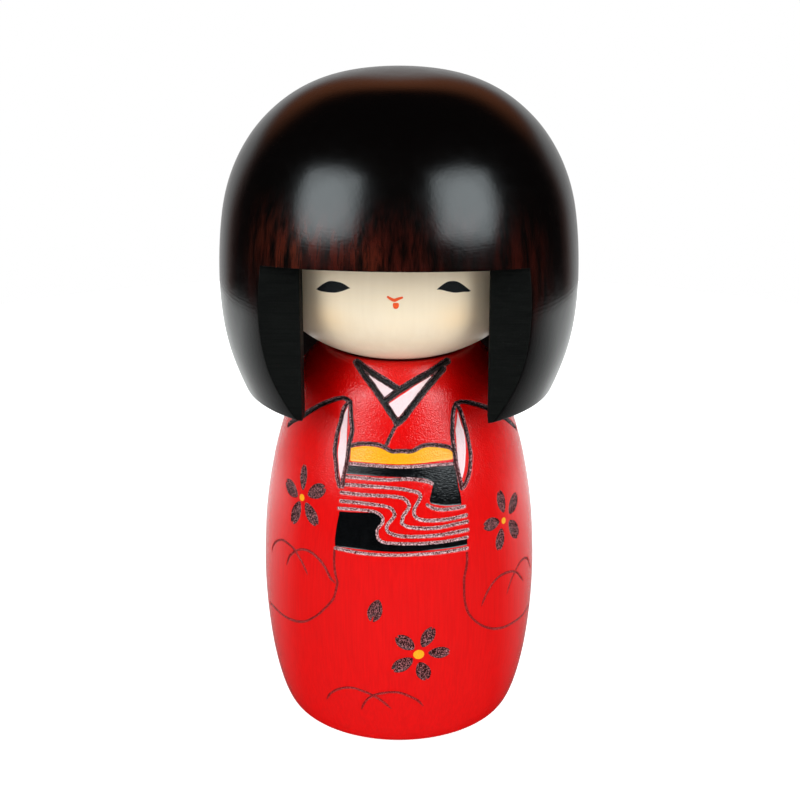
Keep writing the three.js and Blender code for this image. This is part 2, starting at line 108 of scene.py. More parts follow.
# ------------------------------------------------------------------ small numeric tools
def smooth_curve(points, n, closed=False):
    """Centripetal Catmull-Rom curve through the points, n steps per span."""
    p = np.asarray(points, float)
    if closed:
        q = np.vstack([p[-1:], p, p[:2]])
    else:
        q = np.vstack([2 * p[0] - p[1], p, 2 * p[-1] - p[-2]])
    out = []
    for i in range(1, len(q) - 2):
        p0, p1, p2, p3 = q[i - 1], q[i], q[i + 1], q[i + 2]
        a = max(np.linalg.norm((p1 - p0)[:2]), 1e-6) ** 0.5
        b = max(np.linalg.norm((p2 - p1)[:2]), 1e-6) ** 0.5
        c = max(np.linalg.norm((p3 - p2)[:2]), 1e-6) ** 0.5
        m1 = (p2 - p1) + b * ((p1 - p0) / a - (p2 - p0) / (a + b))
        m2 = (p2 - p1) + b * ((p3 - p2) / c - (p3 - p1) / (b + c))
        t = np.linspace(0, 1, n, endpoint=False)[:, None]
        out.append((2 * (p1 - p2) + m1 + m2) * t ** 3 + (-3 * (p1 - p2) - m1 - m1 - m2) * t ** 2 + m1 * t + p1)
    if not closed:
        out.append(p[-1:])
    return np.vstack(out)


def fair(outline, sigma, keep_lo, keep_hi):
    """Evens out the measured outline by sliding averages; the two ends stay as they are."""
    p = np.asarray(outline, float)
    s = np.concatenate([[0], np.cumsum(np.hypot(*np.diff(p, axis=0).T))])
    g = np.linspace(0, s[-1], int(s[-1] / 0.05) + 1)
    q = np.stack([np.interp(g, s, p[:, 0]), np.interp(g, s, p[:, 1])], 1)
    k = int(3 * sigma / 0.05)
    w = np.exp(-0.5 * (np.arange(-k, k + 1) * 0.05 / sigma) ** 2)
    w /= w.sum()
    pad = np.vstack([2 * q[0] - q[k:0:-1], q, 2 * q[-1] - q[-2:-k - 2:-1]])
    f = np.stack([np.convolve(pad[:, 0], w, "valid"), np.convolve(pad[:, 1], w, "valid")], 1)
    lo = np.clip((g - keep_lo) / max(keep_lo, 1e-6), 0, 1) if keep_lo > 0 else np.ones_like(g)
    hi = np.clip((g[-1] - keep_hi - g) / max(keep_hi, 1e-6), 0, 1) if keep_hi > 0 else np.ones_like(g)
    m = (lo * hi)[:, None]
    m = m * m * (3 - 2 * m)
    return q * (1 - m) + f * m


def lattice(ix, iy, iz, seed):
    h = (ix * 374761393 + iy * 668265263 + iz * 1442695041 + seed * 1274126177) & 0xFFFFFFFF
    h = ((h ^ (h >> 13)) * 1274126177) & 0xFFFFFFFF
    return ((h ^ (h >> 16)) & 0xFFFF) / 65535.0


def noise(p, size, seed=0):
    """Smooth value noise from 0 to 1 with features of the given size in mm. size may be one number or three."""
    q = np.asarray(p, float) / np.asarray(size, float)
    i = np.floor(q).astype(np.int64)
    f = q - i
    f = f * f * (3 - 2 * f)
    out = 0
    for dx in (0, 1):
        wx = f[:, 0] if dx else 1 - f[:, 0]
        for dy in (0, 1):
            wy = f[:, 1] if dy else 1 - f[:, 1]
            for dz in (0, 1):
                wz = f[:, 2] if dz else 1 - f[:, 2]
                out = out + wx * wy * wz * lattice(i[:, 0] + dx, i[:, 1] + dy, i[:, 2] + dz, seed)
    return out


def step(x, a, b):
    t = np.clip((x - a) / (b - a), 0, 1)
    return t * t * (3 - 2 * t)


# ------------------------------------------------------------------ turned surfaces
class Turned:
    """A surface of revolution. A place on it is an angle u in degrees and a distance s in mm along the outline."""

    def __init__(self, outline):
        self.rz = np.asarray(outline, float)
        self.s = np.concatenate([[0], np.cumsum(np.hypot(*np.diff(self.rz, axis=0).T))])
        self.length = self.s[-1]

    def r(self, s):
        return np.interp(s, self.s, self.rz[:, 0])

    def z(self, s):
        return np.interp(s, self.s, self.rz[:, 1])

    def s_at(self, z):
        top = int(np.argmax(self.rz[:, 1])) + 1
        return np.interp(z, self.rz[:top, 1], self.s[:top])

    def point(self, u, s):
        a, r = np.radians(u), self.r(s)
        return np.stack([r * np.sin(a), -r * np.cos(a), self.z(s) + 0 * a], -1)

    def normal(self, u, s):
        e = 0.06
        lo, hi = np.clip(s - e, 0, self.length), np.clip(s + e, 0, self.length)
        dr, dz = self.r(hi) - self.r(lo), self.z(hi) - self.z(lo)
        n = np.maximum(np.hypot(dr, dz), 1e-12)
        a = np.radians(u)
        return np.stack([dz / n * np.sin(a), -dz / n * np.cos(a), -dr / n + 0 * a], -1)


def grid(turned, columns, rows):
    """Triangles over the whole surface: columns round it, rows at the given distances along it."""
    cu = -180 + 360 * np.arange(columns) / columns
    u = np.tile(cu, len(rows))
    s = np.repeat(np.asarray(rows, float), columns)
    j, i = np.meshgrid(np.arange(len(rows) - 1), np.arange(columns), indexing="ij")
    j, i = j.ravel(), i.ravel()
    k = (i + 1) % columns
    a, b, c, d = j * columns + i, j * columns + k, (j + 1) * columns + k, (j + 1) * columns + i
    even = ((i + j) % 2 == 0)[:, None]
    t1 = np.where(even, np.stack([a, b, c], 1), np.stack([a, b, d], 1))
    t2 = np.where(even, np.stack([a, c, d], 1), np.stack([b, c, d], 1))
    return u, s, np.vstack([t1, t2])


def refine(turned, u, s, tri, want, limits):
    """Splits edges that are longer than want(u, s) there, and keeps the triangles joined edge to edge."""
    for limit in limits:
        for _ in range(12):
            n = len(u)
            e = np.sort(tri[:, [0, 1, 1, 2, 2, 0]].reshape(-1, 2), axis=1)
            key, back = np.unique(e[:, 0].astype(np.int64) * n + e[:, 1], return_inverse=True)
            a, b = key // n, key % n
            du = (u[b] - u[a] + 180) % 360 - 180
            um, sm = (u[a] + du / 2 + 180) % 360 - 180, (s[a] + s[b]) / 2
            size = np.linalg.norm(turned.point(u[a], s[a]) - turned.point(u[b], s[b]), axis=1)
            cut = size > np.maximum(want(um, sm), limit)
            if not cut.any():
                break
            new = np.full(len(key), -1)
            new[cut] = n + np.arange(cut.sum())
            u, s = np.concatenate([u, um[cut]]), np.concatenate([s, sm[cut]])
            pos = turned.point(u, s)
            m = new[back.ravel()].reshape(-1, 3)
            c = m >= 0
            k = c.sum(1)
            out = [tri[k == 0]]
            for q in range(3):
                w = (k == 1) & c[:, q]
                A, B, C, X = tri[w, q], tri[w, (q + 1) % 3], tri[w, (q + 2) % 3], m[w, q]
                out += [np.stack([A, X, C], 1), np.stack([X, B, C], 1)]
                w = (k == 2) & ~c[:, q]
                A, B, C = tri[w, q], tri[w, (q + 1) % 3], tri[w, (q + 2) % 3]
                X, Y = m[w, (q + 1) % 3], m[w, (q + 2) % 3]
                out.append(np.stack([X, C, Y], 1))
                short = (np.linalg.norm(pos[A] - pos[X], axis=1) < np.linalg.norm(pos[B] - pos[Y], axis=1))[:, None]
                out.append(np.where(short, np.stack([A, B, X], 1), np.stack([A, B, Y], 1)))
                out.append(np.where(short, np.stack([A, X, Y], 1), np.stack([B, X, Y], 1)))
            w = k == 3
            A, B, C = tri[w].T
            X, Y, Z = m[w].T
            out += [np.stack([A, X, Z], 1), np.stack([X, B, Y], 1), np.stack([Z, Y, C], 1), np.stack([X, Y, Z], 1)]
            tri = np.vstack(out)
    return u, s, tri


class NeedMap:
    """How fine the mesh has to be at each place: fine beside the given curves, coarse far from them."""

    def __init__(self, turned, fine, coarse, slope, cell=0.3):
        self.t, self.fine, self.coarse, self.slope = turned, fine, coarse, slope
        self.nu, self.ns = int(360 / (math.degrees(cell / turned.rz[:, 0].max()))), int(turned.length / cell) + 2
        self.du, self.ds = 360 / self.nu, turned.length / (self.ns - 1)
        self.d = np.full((self.ns, self.nu), 99.0)
        self.r = np.maximum(turned.r(np.arange(self.ns) * self.ds), 0.5)

    def mark(self, u, s, half):
        reach = (self.coarse - self.fine) / self.slope + 0.5
        for uu, ss, hh in zip(u, s, np.broadcast_to(half, np.shape(u))):
            j0, j1 = max(int((ss - reach - hh) / self.ds), 0), min(int((ss + reach + hh) / self.ds) + 2, self.ns)
            rr = self.r[j0:j1].min()
            w = int(math.degrees((reach + hh) / rr) / self.du) + 2
            i = np.arange(int((uu + 180) / self.du) - w, int((uu + 180) / self.du) + w + 1)
            d_u = np.radians(i * self.du - 180 - uu)[None, :] * self.r[j0:j1, None]
            d_s = (np.arange(j0, j1) * self.ds - ss)[:, None]
            i = i % self.nu
            self.d[j0:j1, i] = np.minimum(self.d[j0:j1, i], np.hypot(d_u, d_s) - hh)

    def __call__(self, u, s):
        i = np.round((u + 180) / self.du).astype(int) % self.nu
        j = np.clip(np.round(s / self.ds).astype(int), 0, self.ns - 1)
        want = np.clip(self.fine + self.slope * np.maximum(self.d[j, i] - 0.15, 0), self.fine, self.coarse)
        edge = (s < 1.5) | (s > self.t.length - 1.2)
        return np.where(edge, 9.0, want)


def along(turned, u, s, gap=0.4):
    """Resamples a line on the surface every gap mm or so."""
    p = turned.point(u, s)
    d = np.concatenate([[0], np.cumsum(np.linalg.norm(np.diff(p, axis=0), axis=1))])
    n = max(int(d[-1] / gap) + 1, 2)
    g = np.linspace(0, d[-1], n)
    return np.interp(g, d, u), np.interp(g, d, s), g


def to_line(p, line):
    """For each point, the distance to a polyline and how far along the nearest place is."""
    seg = line[1:] - line[:-1]
    size = np.maximum((seg ** 2).sum(1), 1e-12)
    start = np.concatenate([[0], np.cumsum(np.sqrt(size))])
    best = np.full(len(p), 1e9)
    where = np.zeros(len(p))
    for a, d, q, s0 in zip(line[:-1], seg, size, start):
        t = np.clip((p - a) @ d / q, 0, 1)
        e = np.linalg.norm(p - a - t[:, None] * d, axis=1)
        near = e < best
        best[near] = e[near]
        where[near] = s0 + t[near] * math.sqrt(q)
    return best, where


def inside(x, y, px, py):
    """Even-odd test of points in a polygon."""
    out = np.zeros(len(x), bool)
    for i in range(len(px)):
        x0, y0, x1, y1 = px[i - 1], py[i - 1], px[i], py[i]
        if y0 == y1:
            continue
        hit = ((y0 > y) != (y1 > y)) & (x < (x1 - x0) * (y - y0) / (y1 - y0) + x0)
        out ^= hit
    return out


class Carving:
    """Distance fields of lines and patches over a turned surface, in mm, positive inside the mark."""

    def __init__(self, turned):
        self.t = turned
        self.lines, self.patches = [], []

    def line(self, group, points, depth, power=1.6, taper=0.0, smooth=True, wide=1.0):
        q = np.asarray(points, float)
        q = np.stack([q[:, 0], self.t.s_at(q[:, 1]), q[:, 2] * wide], 1)
        if smooth and len(q) > 2:
            r = self.t.r(q[:, 1]).mean()
            c = smooth_curve(np.stack([np.radians(q[:, 0]) * r, q[:, 1], q[:, 2]], 1), 6)
            q = np.stack([np.degrees(c[:, 0] / r), c[:, 1], c[:, 2]], 1)
        d = np.concatenate([[0], np.cumsum(np.linalg.norm(np.diff(self.t.point(q[:, 0], q[:, 1]), axis=0), axis=1))])
        u, s, g = along(self.t, q[:, 0], q[:, 1])
        half = np.interp(g, d, q[:, 2])
        if taper:
            half = half * np.clip(np.minimum(g, g[-1] - g) / taper + 0.35, 0, 1)
        self.lines.append(dict(group=group, u=u, s=s, g=g, half=half, depth=depth, power=power))

    def patch(self, group, u, s, depth=0.0, edge=0.15):
        self.patches.append(dict(group=group, u=np.asarray(u, float), s=np.asarray(s, float), depth=depth, edge=edge))

    def mark(self, need):
        for k in self.lines:
            u, s, g = along(self.t, k["u"], k["s"], 0.25)
            need.mark(u, s, np.interp(g, k["g"], k["half"]))
        for k in self.patches:
            u, s, _ = along(self.t, np.append(k["u"], k["u"][0]), np.append(k["s"], k["s"][0]), 0.25)
            need.mark(u, s, 0.12)

    def fields(self, u, s):
        """The fields of each group, and the depth to cut at each place."""
        p = self.t.point(u, s)
        groups, depth = {}, np.zeros(len(u))
        rough = 0.72 + 0.56 * noise(p, 0.42, 3)
        for k in self.lines:
            line = self.t.point(k["u"], k["s"])
            far = 1.6
            box = np.all((p > line.min(0) - far) & (p < line.max(0) + far), axis=1)
            w = np.nonzero(box)[0]
            if not len(w):
                continue
            d, g = to_line(p[w], line)
            half = np.interp(g, k["g"], k["half"])
            half = half * (0.93 + 0.14 * noise(p[w], 0.9, 5))
            f = groups.setdefault(k["group"], np.full(len(u), -1.5))
            f[w] = np.maximum(f[w], np.clip(half - d, -1.5, 1.5))
            t = np.clip(d / np.maximum(half, 1e-4), 0, 2)
            cut = k["depth"] * (1 - np.minimum(t, 1) ** k["power"]) * rough[w] * np.minimum(half / 0.3, 1)
            lip = -0.028 * np.exp(-((t - 1.22) / 0.22) ** 2) * (0.3 + 1.2 * noise(p[w], 0.5, 9))
            depth[w] = np.where(cut > 0.004, np.maximum(depth[w], cut), np.where(depth[w] > 0, depth[w], np.minimum(depth[w], lip)))
        for k in self.patches:
            uu, ss, _ = along(self.t, np.append(k["u"], k["u"][0]), np.append(k["s"], k["s"][0]), 0.4)
            line = self.t.point(uu, ss)
            far = 1.6
            box = np.all((p > line.min(0) - far) & (p < line.max(0) + far), axis=1)
            w = np.nonzero(box)[0]
            if not len(w):
                continue
            d, _ = to_line(p[w], line)
            d = np.where(inside(u[w], s[w], k["u"], k["s"]), d, -d)
            f = groups.setdefault(k["group"], np.full(len(u), -1.5))
            f[w] = np.maximum(f[w], np.clip(d, -1.5, 1.5))
            if k["depth"]:
                base = k["depth"] * step(d, -0.02, k["edge"])
                if k["group"] == "petal":
                    base = base * (0.55 + 0.9 * noise(p[w], (0.8, 0.8, 0.55), 21))
                depth[w] = np.maximum(depth[w], base)
        return groups, depth


# ------------------------------------------------------------------ meshes
def mesh_object(name, verts, faces, fields=None, materials=()):
    me = bpy.data.meshes.new(name)
    me.from_pydata((np.asarray(verts) * MM).tolist(), [], [tuple(int(i) for i in f) for f in faces])
    me.polygons.foreach_set("use_smooth", np.ones(len(me.polygons), bool))
    for key, value in (fields or {}).items():
        a = me.attributes.new(key, "FLOAT", "POINT")
        a.data.foreach_set("value", np.asarray(value, np.float32))
    for m in materials:
        me.materials.append(m)
    me.update()
    ob = bpy.data.objects.new(name, me)
    bpy.context.scene.collection.objects.link(ob)
    return ob


def close_ends(u, s, tri, verts, turned, start, end, columns):
    """Adds the hidden ends of a turned piece. start and end are lists of (radius, height) rings, the last one at the axis."""
    verts = [verts]
    faces = [tri]
    n = len(u)
    ring_angle = -180 + 360 * np.arange(columns) / columns
    for rings, at, flip in ((start, 0.0, True), (end, turned.length, False)):
        w = np.nonzero(np.abs(s - at) < 1e-6)[0]
        order = w[np.argsort(u[w])]
        last = order
        a = np.radians(u[order])
        for r, z in rings:
            if r > 0:
                ring = np.stack([r * np.sin(a), -r * np.cos(a), np.full(len(a), z)], 1)
                ids = n + np.arange(len(ring))
                n += len(ring)
                verts.append(ring)
                x, y = last, np.roll(last, -1)
                p, q = ids, np.roll(ids, -1)
                f = np.vstack([np.stack([x, y, q], 1), np.stack([x, q, p], 1)])
                faces.append(f[:, ::-1] if flip else f)
                last = ids
            else:
                verts.append(np.array([[0, 0, z]]))
                f = np.stack([last, np.roll(last, -1), np.full(len(last), n)], 1)
                n += 1
                faces.append(f[:, ::-1] if flip else f)
    return np.vstack(verts), np.vstack(faces)


def turned_piece(name, turned, columns, rows, start, end, carving=None, need=None, limits=(), materials=(), yaw=0.0, extra=None):
    u, s, tri = grid(turned, columns, rows)
    if need is not None:
        u, s, tri = refine(turned, u, s, tri, need, limits)
    fields = {}
    p = turned.point(u, s)
    if carving is not None:
        groups, depth = carving.fields(u, s)
        p = p - turned.normal(u, s) * depth[:, None]
        fields.update(groups)
        fields["cut_depth"] = depth
    fields["turn_s"] = s
    if extra:
        fields.update(extra(u, s))
    verts, faces = close_ends(u, s, tri, p, turned, start, end, columns)
    more = len(verts) - len(u)
    fields = {k: np.concatenate([v, np.full(more, -1.5 if k not in ("cut_depth", "turn_s") else 0.0)]) for k, v in fields.items()}
    if yaw:
        a = math.radians(yaw)
        x, y = verts[:, 0].copy(), verts[:, 1].copy()
        verts[:, 0], verts[:, 1] = x * math.cos(a) - y * math.sin(a), x * math.sin(a) + y * math.cos(a)
    ob = mesh_object(name, verts, faces, fields, materials)
    print(name, "triangles", len(faces))
    return ob


def sharpen(ob, test):
    """Marks the edges whose two ends both pass the test as sharp."""
    me = ob.data
    co = np.empty(len(me.vertices) * 3)
    me.vertices.foreach_get("co", co)
    ok = test(co.reshape(-1, 3) / MM)
    e = np.empty(len(me.edges) * 2, int)
    me.edges.foreach_get("vertices", e)
    e = e.reshape(-1, 2)
    a = me.attributes.new("sharp_edge", "BOOLEAN", "EDGE")
    a.data.foreach_set("value", ok[e[:, 0]] & ok[e[:, 1]])


# ------------------------------------------------------------------ material helper
class Mat:
    """A node material with a Principled shader; methods add nodes and return their outputs."""

    def __init__(self, name, **sockets):
        self.m = bpy.data.materials.new(name)
        self.m.use_nodes = True
        self.t = self.m.node_tree
        self.t.nodes.clear()
        self.out = self.t.nodes.new("ShaderNodeOutputMaterial")
        self.p = self.t.nodes.new("ShaderNodeBsdfPrincipled")
        self.t.links.new(self.p.outputs[0], self.out.inputs[0])
        for k, v in sockets.items():
            self.set(k.replace("_", " "), v)

    def set(self, socket, value):
        i = self.p.inputs[socket]
        if isinstance(value, bpy.types.NodeSocket):
            self.t.links.new(value, i)
        else:
            i.default_value = value

    def put(self, node, i, value):
        if isinstance(value, bpy.types.NodeSocket):
            self.t.links.new(value, node.inputs[i])
        elif value is not None:
            node.inputs[i].default_value = value

    def attr(self, name):
        n = self.t.nodes.new("ShaderNodeAttribute")
        n.attribute_name = name
        return n.outputs["Fac"]

    def where(self):
        n = self.t.nodes.new("ShaderNodeTexCoord")
        return n.outputs["Object"]

    def scaled(self, vector, sx, sy, sz, move=(0, 0, 0)):
        n = self.t.nodes.new("ShaderNodeMapping")
        self.put(n, "Vector", vector)
        n.inputs["Scale"].default_value = (sx, sy, sz)
        n.inputs["Location"].default_value = move
        return n.outputs[0]

    def noise(self, vector, scale, detail=2.0, rough=0.5, distort=0.0):
        n = self.t.nodes.new("ShaderNodeTexNoise")
        self.put(n, "Vector", vector)
        n.inputs["Scale"].default_value = scale
        n.inputs["Detail"].default_value = detail
        n.inputs["Roughness"].default_value = rough
        n.inputs["Distortion"].default_value = distort
        return n.outputs["Fac"]

    def cells(self, vector, scale, feature="F1", randomness=1.0):
        n = self.t.nodes.new("ShaderNodeTexVoronoi")
        n.feature = feature
        self.put(n, "Vector", vector)
        n.inputs["Scale"].default_value = scale
        n.inputs["Randomness"].default_value = randomness
        return n.outputs["Distance"]

    def math(self, op, a, b=None, c=None, clamp=False):
        n = self.t.nodes.new("ShaderNodeMath")
        n.operation = op
        n.use_clamp = clamp
        self.put(n, 0, a)
        self.put(n, 1, b)
        self.put(n, 2, c)
        return n.outputs[0]

    def ramp(self, value, a, b, lo=0.0, hi=1.0, smooth=True):
        n = self.t.nodes.new("ShaderNodeMapRange")
        n.interpolation_type = "SMOOTHSTEP" if smooth else "LINEAR"
        self.put(n, "Value", value)
        n.inputs["From Min"].default_value = a
        n.inputs["From Max"].default_value = b
        n.inputs["To Min"].default_value = lo
        n.inputs["To Max"].default_value = hi
        return n.outputs[0]

    def mix(self, f, a, b, blend="MIX"):
        n = self.t.nodes.new("ShaderNodeMix")
        n.data_type = "RGBA"
        n.blend_type = blend
        n.clamp_factor = True
        self.put(n, 0, f)
        for i, v in ((6, a), (7, b)):
            if isinstance(v, tuple) and len(v) == 3:
                v = (*v, 1.0)
            self.put(n, i, v)
        return n.outputs[2]

    def bump(self, height, distance, strength=1.0, normal=None):
        n = self.t.nodes.new("ShaderNodeBump")
        n.inputs["Strength"].default_value = strength
        n.inputs["Distance"].default_value = distance
        self.put(n, "Height", height)
        if normal is not None:
            self.put(n, "Normal", normal)
        return n.outputs[0]

    def split(self, vector):
        n = self.t.nodes.new("ShaderNodeSeparateXYZ")
        self.put(n, 0, vector)
        return n.outputs

    def join(self, x, y, z):
        n = self.t.nodes.new("ShaderNodeCombineXYZ")
        self.put(n, 0, x)
        self.put(n, 1, y)
        self.put(n, 2, z)
        return n.outputs[0]


# ------------------------------------------------------------------ materials
def red_kimono():
    m = Mat("kimono_red", Roughness=0.2, Coat_Weight=0.0)
    m.set("IOR", 1.50)
    here = m.where()
    # close vertical grain under the stain
    grain = m.noise(m.scaled(here, 1, 1, 0.035), 2300, 3, 0.6)
    bands = m.noise(m.scaled(here, 1, 1, 0.06), 420, 2, 0.5)
    red = m.mix(m.ramp(grain, 0.25, 0.75), (0.61, 0.0002, 0.0003), (0.71, 0.0006, 0.0006))
    red = m.mix(m.ramp(bands, 0.3, 0.7, 0, 0.30), red, (0.69, 0.0014, 0.0009))
    fleck = m.noise(here, 3300, 2, 0.6)
    fine = m.noise(here, 3400, 2, 0.75)
    cross = m.noise(m.scaled(here, 1, 1, 0.4), 5200, 2, 0.7)
    shift = m.math("MULTIPLY", m.math("SUBTRACT", fleck, 0.5), 0.16)

    def inside_of(name, a=-0.04, b=0.05, amount=1.0):
        return m.ramp(m.math("MULTIPLY_ADD", shift, amount, m.attr(name)), a, b)

    white = m.mix(m.ramp(fine, 0.3, 0.7), (0.80, 0.56, 0.58), (0.86, 0.63, 0.65))
    yellow = m.mix(m.ramp(fleck, 0.3, 0.75), (0.80, 0.33, 0.005), (0.88, 0.40, 0.010))
    black = m.mix(m.ramp(m.noise(m.scaled(here, 1, 1, 0.1), 1900, 2, 0.6), 0.3, 0.75), (0.0010, 0.0012, 0.0014), (0.0030, 0.0033, 0.0038))
    c = red
    obi = inside_of("obi", amount=0.4)
    c = m.mix(obi, c, black)
    c = m.mix(inside_of("white", -0.30, -0.22, 0.3), c, white)
    c = m.mix(inside_of("slit", amount=0.3), c, white)
    c = m.mix(inside_of("yellow", -0.17, -0.08, 0.5), c, yellow)
    # cut lines: dark stain in the cut; the pale flecks along both lips are torn fibres and also painted glints, light
    # caught on the rough edges painted into the colour
    # where the pale flecks sit in the cuts: painted glints of light, partly torn fibres
    sparse_flecks_and_glints = m.math("MAXIMUM", m.ramp(fine, 0.545, 0.60), m.ramp(cross, 0.575, 0.63))
    dense_flecks_and_glints = m.math("MAXIMUM", m.ramp(fine, 0.515, 0.565), m.ramp(cross, 0.545, 0.60))

    def lips(name, width):
        return m.ramp(m.attr(name), width + 0.12, width)

    thin = m.mix(sparse_flecks_and_glints, (0.13, 0.002, 0.003), (0.46, 0.05, 0.05))
    c = m.mix(m.math("MULTIPLY", inside_of("thin", -0.05, 0.12), 0.85), c, thin)
    stream = m.mix(m.math("MULTIPLY", dense_flecks_and_glints, lips("stream", 0.30)), (0.085, 0.001, 0.002), (0.88, 0.56, 0.57))
    c = m.mix(inside_of("stream", -0.03, 0.09, 1.6), c, stream)
    ink = m.mix(m.math("MULTIPLY", sparse_flecks_and_glints, lips("ink", 0.30)), (0.0035, 0.0006, 0.0006), (0.34, 0.15, 0.16))
    c = m.mix(inside_of("ink", -0.03, 0.06, 1.6), c, ink)
    high = m.ramp(m.split(here)[2], 0.0660, 0.0745)
    ink2 = m.mix(m.math("MULTIPLY", sparse_flecks_and_glints, lips("ink2", 0.30)), m.mix(high, (0.060, 0.001, 0.002), (0.008, 0.001, 0.001)), (0.58, 0.27, 0.29))
    c = m.mix(inside_of("ink2", -0.03, 0.07, 1.6), c, ink2)
    # petal recesses: dark stain with pale flecks that are painted glints and torn fibres
    petal = m.mix(sparse_flecks_and_glints, (0.020, 0.001, 0.001), (0.42, 0.14, 0.15))
    c = m.mix(inside_of("petal", -0.05, 0.05), c, petal)
    c = m.mix(inside_of("dot", -0.05, 0.05, 0.4), c, yellow)
    m.set("Base Color", c)
    cut = m.attr("thin")
    for name in ("stream", "ink", "ink2", "petal"):
        cut = m.math("MAXIMUM", cut, m.attr(name))
    cut = m.ramp(cut, -0.02, 0.10)
    # the varnish has the fine dimples of a sprayed coat, strongest over the chest
    chest = m.ramp(m.split(here)[2], 0.057, 0.067, 0.35, 1.0)
    peel = m.noise(here, 3200, 1.0, 0.5)
    rough = m.math("MULTIPLY_ADD", chest, 0.04, m.ramp(peel, 0.3, 0.7, 0.155, 0.185))
    rough = m.math("MULTIPLY_ADD", obi, -0.06, rough)
    m.set("Roughness", m.math("MULTIPLY_ADD", cut, 0.01, rough))
    b = m.bump(m.math("MULTIPLY", peel, chest), 0.000095, 1.0)
    b = m.bump(m.noise(m.scaled(here, 1, 1, 0.03), 2600, 2, 0.6), 0.000005, 1.0, b)
    b = m.bump(m.math("MULTIPLY", m.noise(m.scaled(here, 1.3, 1.3, 0.8), 3600, 3, 0.7), cut), 0.00019, 1.0, b)
    m.set("Normal", b)
    return m.m


def pale_face():
    m = Mat("face_pale_wood", Roughness=0.33)
    m.set("Specular IOR Level", 0.4)
    here = m.where()
    grain = m.noise(m.scaled(here, 1, 1, 0.05), 700, 2, 0.5)
    cloud = m.noise(here, 130, 2, 0.5)
    rings = m.noise(m.scaled(here, 0.12, 0.12, 1), 900, 2, 0.5)
    base = m.mix(m.ramp(grain, 0.25, 0.8), (0.80, 0.645, 0.475), (0.83, 0.68, 0.51))
    base = m.mix(m.ramp(rings, 0.35, 0.7, 0, 0.18), base, (0.87, 0.68, 0.45))
    base = m.mix(m.ramp(cloud, 0.3, 0.7, 0, 0.25), base, (0.90, 0.71, 0.50))
    # a warm orange tint over each lower cheek
    base = m.mix(m.math("MULTIPLY", m.attr("lower_cheek_warmth"), 0.45), base, (0.93, 0.62, 0.33))
    ink = m.mix(m.ramp(m.noise(here, 2500, 2, 0.5), 0.3, 0.7), (0.006, 0.007, 0.008), (0.012, 0.013, 0.015))
    base = m.mix(m.ramp(m.attr("eye"), -0.045, 0.045), base, ink)
    orange = m.mix(m.ramp(m.noise(here, 2500, 2, 0.5), 0.35, 0.7), (0.86, 0.090, 0.008), (0.78, 0.060, 0.006))
    base = m.mix(m.ramp(m.attr("lip"), -0.045, 0.045), base, orange)
    m.set("Base Color", base)
    m.set("Roughness", m.ramp(m.noise(here, 900, 2, 0.5), 0.3, 0.7, 0.30, 0.38))
    b = m.bump(m.noise(here, 1400, 2, 0.5), 0.000008)
    paint = m.math("MAXIMUM", m.ramp(m.attr("eye"), -0.05, 0.10), m.ramp(m.attr("lip"), -0.05, 0.10))
    b = m.bump(paint, 0.00003, 1.0, b)
    m.set("Normal", b)
    return m.m


def lacquer():
    m = Mat("hair_lacquer", Roughness=0.2)
    m.set("IOR", 1.45)
    here = m.where()
    z = m.split(here)[2]
    grain = m.noise(m.scaled(here, 1, 1, 0.06), 520, 3, 0.6)
    fine = m.noise(m.scaled(here, 1, 1, 0.05), 1900, 2, 0.6)
    cloud = m.noise(m.scaled(here, 1, 1, 0.5), 60, 2, 0.5)
    # the stain wears to red-brown in a broad belt round the widest part
    belt = m.math("MULTIPLY", m.ramp(z, 0.096, 0.111), m.ramp(z, 0.133, 0.119))
    streak = m.ramp(m.math("ADD", m.math("MULTIPLY", grain, 0.7), m.math("MULTIPLY", fine, 0.3)), 0.36, 0.66)
    show = m.math("MULTIPLY", m.math("MULTIPLY", belt, m.ramp(cloud, 0.32, 0.62, 0.15, 1.0)), streak, clamp=True)
    show = m.math("MULTIPLY", show, m.ramp(m.split(here)[1], -0.021, -0.034, 0.08, 1.0))
    brown = m.mix(m.ramp(cloud, 0.50, 0.75), (0.050, 0.0055, 0.0030), (0.095, 0.016, 0.0060))
    base = m.mix(show, (0.0012, 0.0007, 0.0006), brown)
    m.set("Base Color", base)
    s = m.attr("turn_s")
    rings = m.noise(m.join(m.math("MULTIPLY", s, 1.0), 0.0, 0.0), 2.2, 3, 0.7)
    m.set("Roughness", m.ramp(m.noise(here, 350, 2, 0.5), 0.3, 0.7, 0.165, 0.195))
    b = m.bump(rings, 0.000010, 1.0)
    b = m.bump(m.noise(here, 1500, 1.5, 0.5), 0.000011, 1.0, b)
    b = m.bump(fine, 0.000002, 1.0, b)
    m.set("Normal", b)
    return m.m


def sawn_black():
    m = Mat("hair_sawn_face", Roughness=0.62)
    m.set("Specular IOR Level", 0.12)
    here = m.where()
    lines = m.noise(m.scaled(here, 0.05, 0.05, 1), 3300, 3, 0.65)
    spots = m.noise(here, 2300, 3, 0.65)
    base = m.mix(m.ramp(lines, 0.3, 0.7), (0.0014, 0.0016, 0.0013), (0.0038, 0.0042, 0.0034))
    base = m.mix(m.ramp(spots, 0.62, 0.74, 0, 0.8), base, (0.010, 0.0105, 0.009))
    m.set("Base Color", base)
    m.set("Roughness", m.ramp(spots, 0.3, 0.7, 0.55, 0.75))
    b = m.bump(lines, 0.00005)
    b = m.bump(spots, 0.00003, 1.0, b)
    m.set("Normal", b)
    return m.m


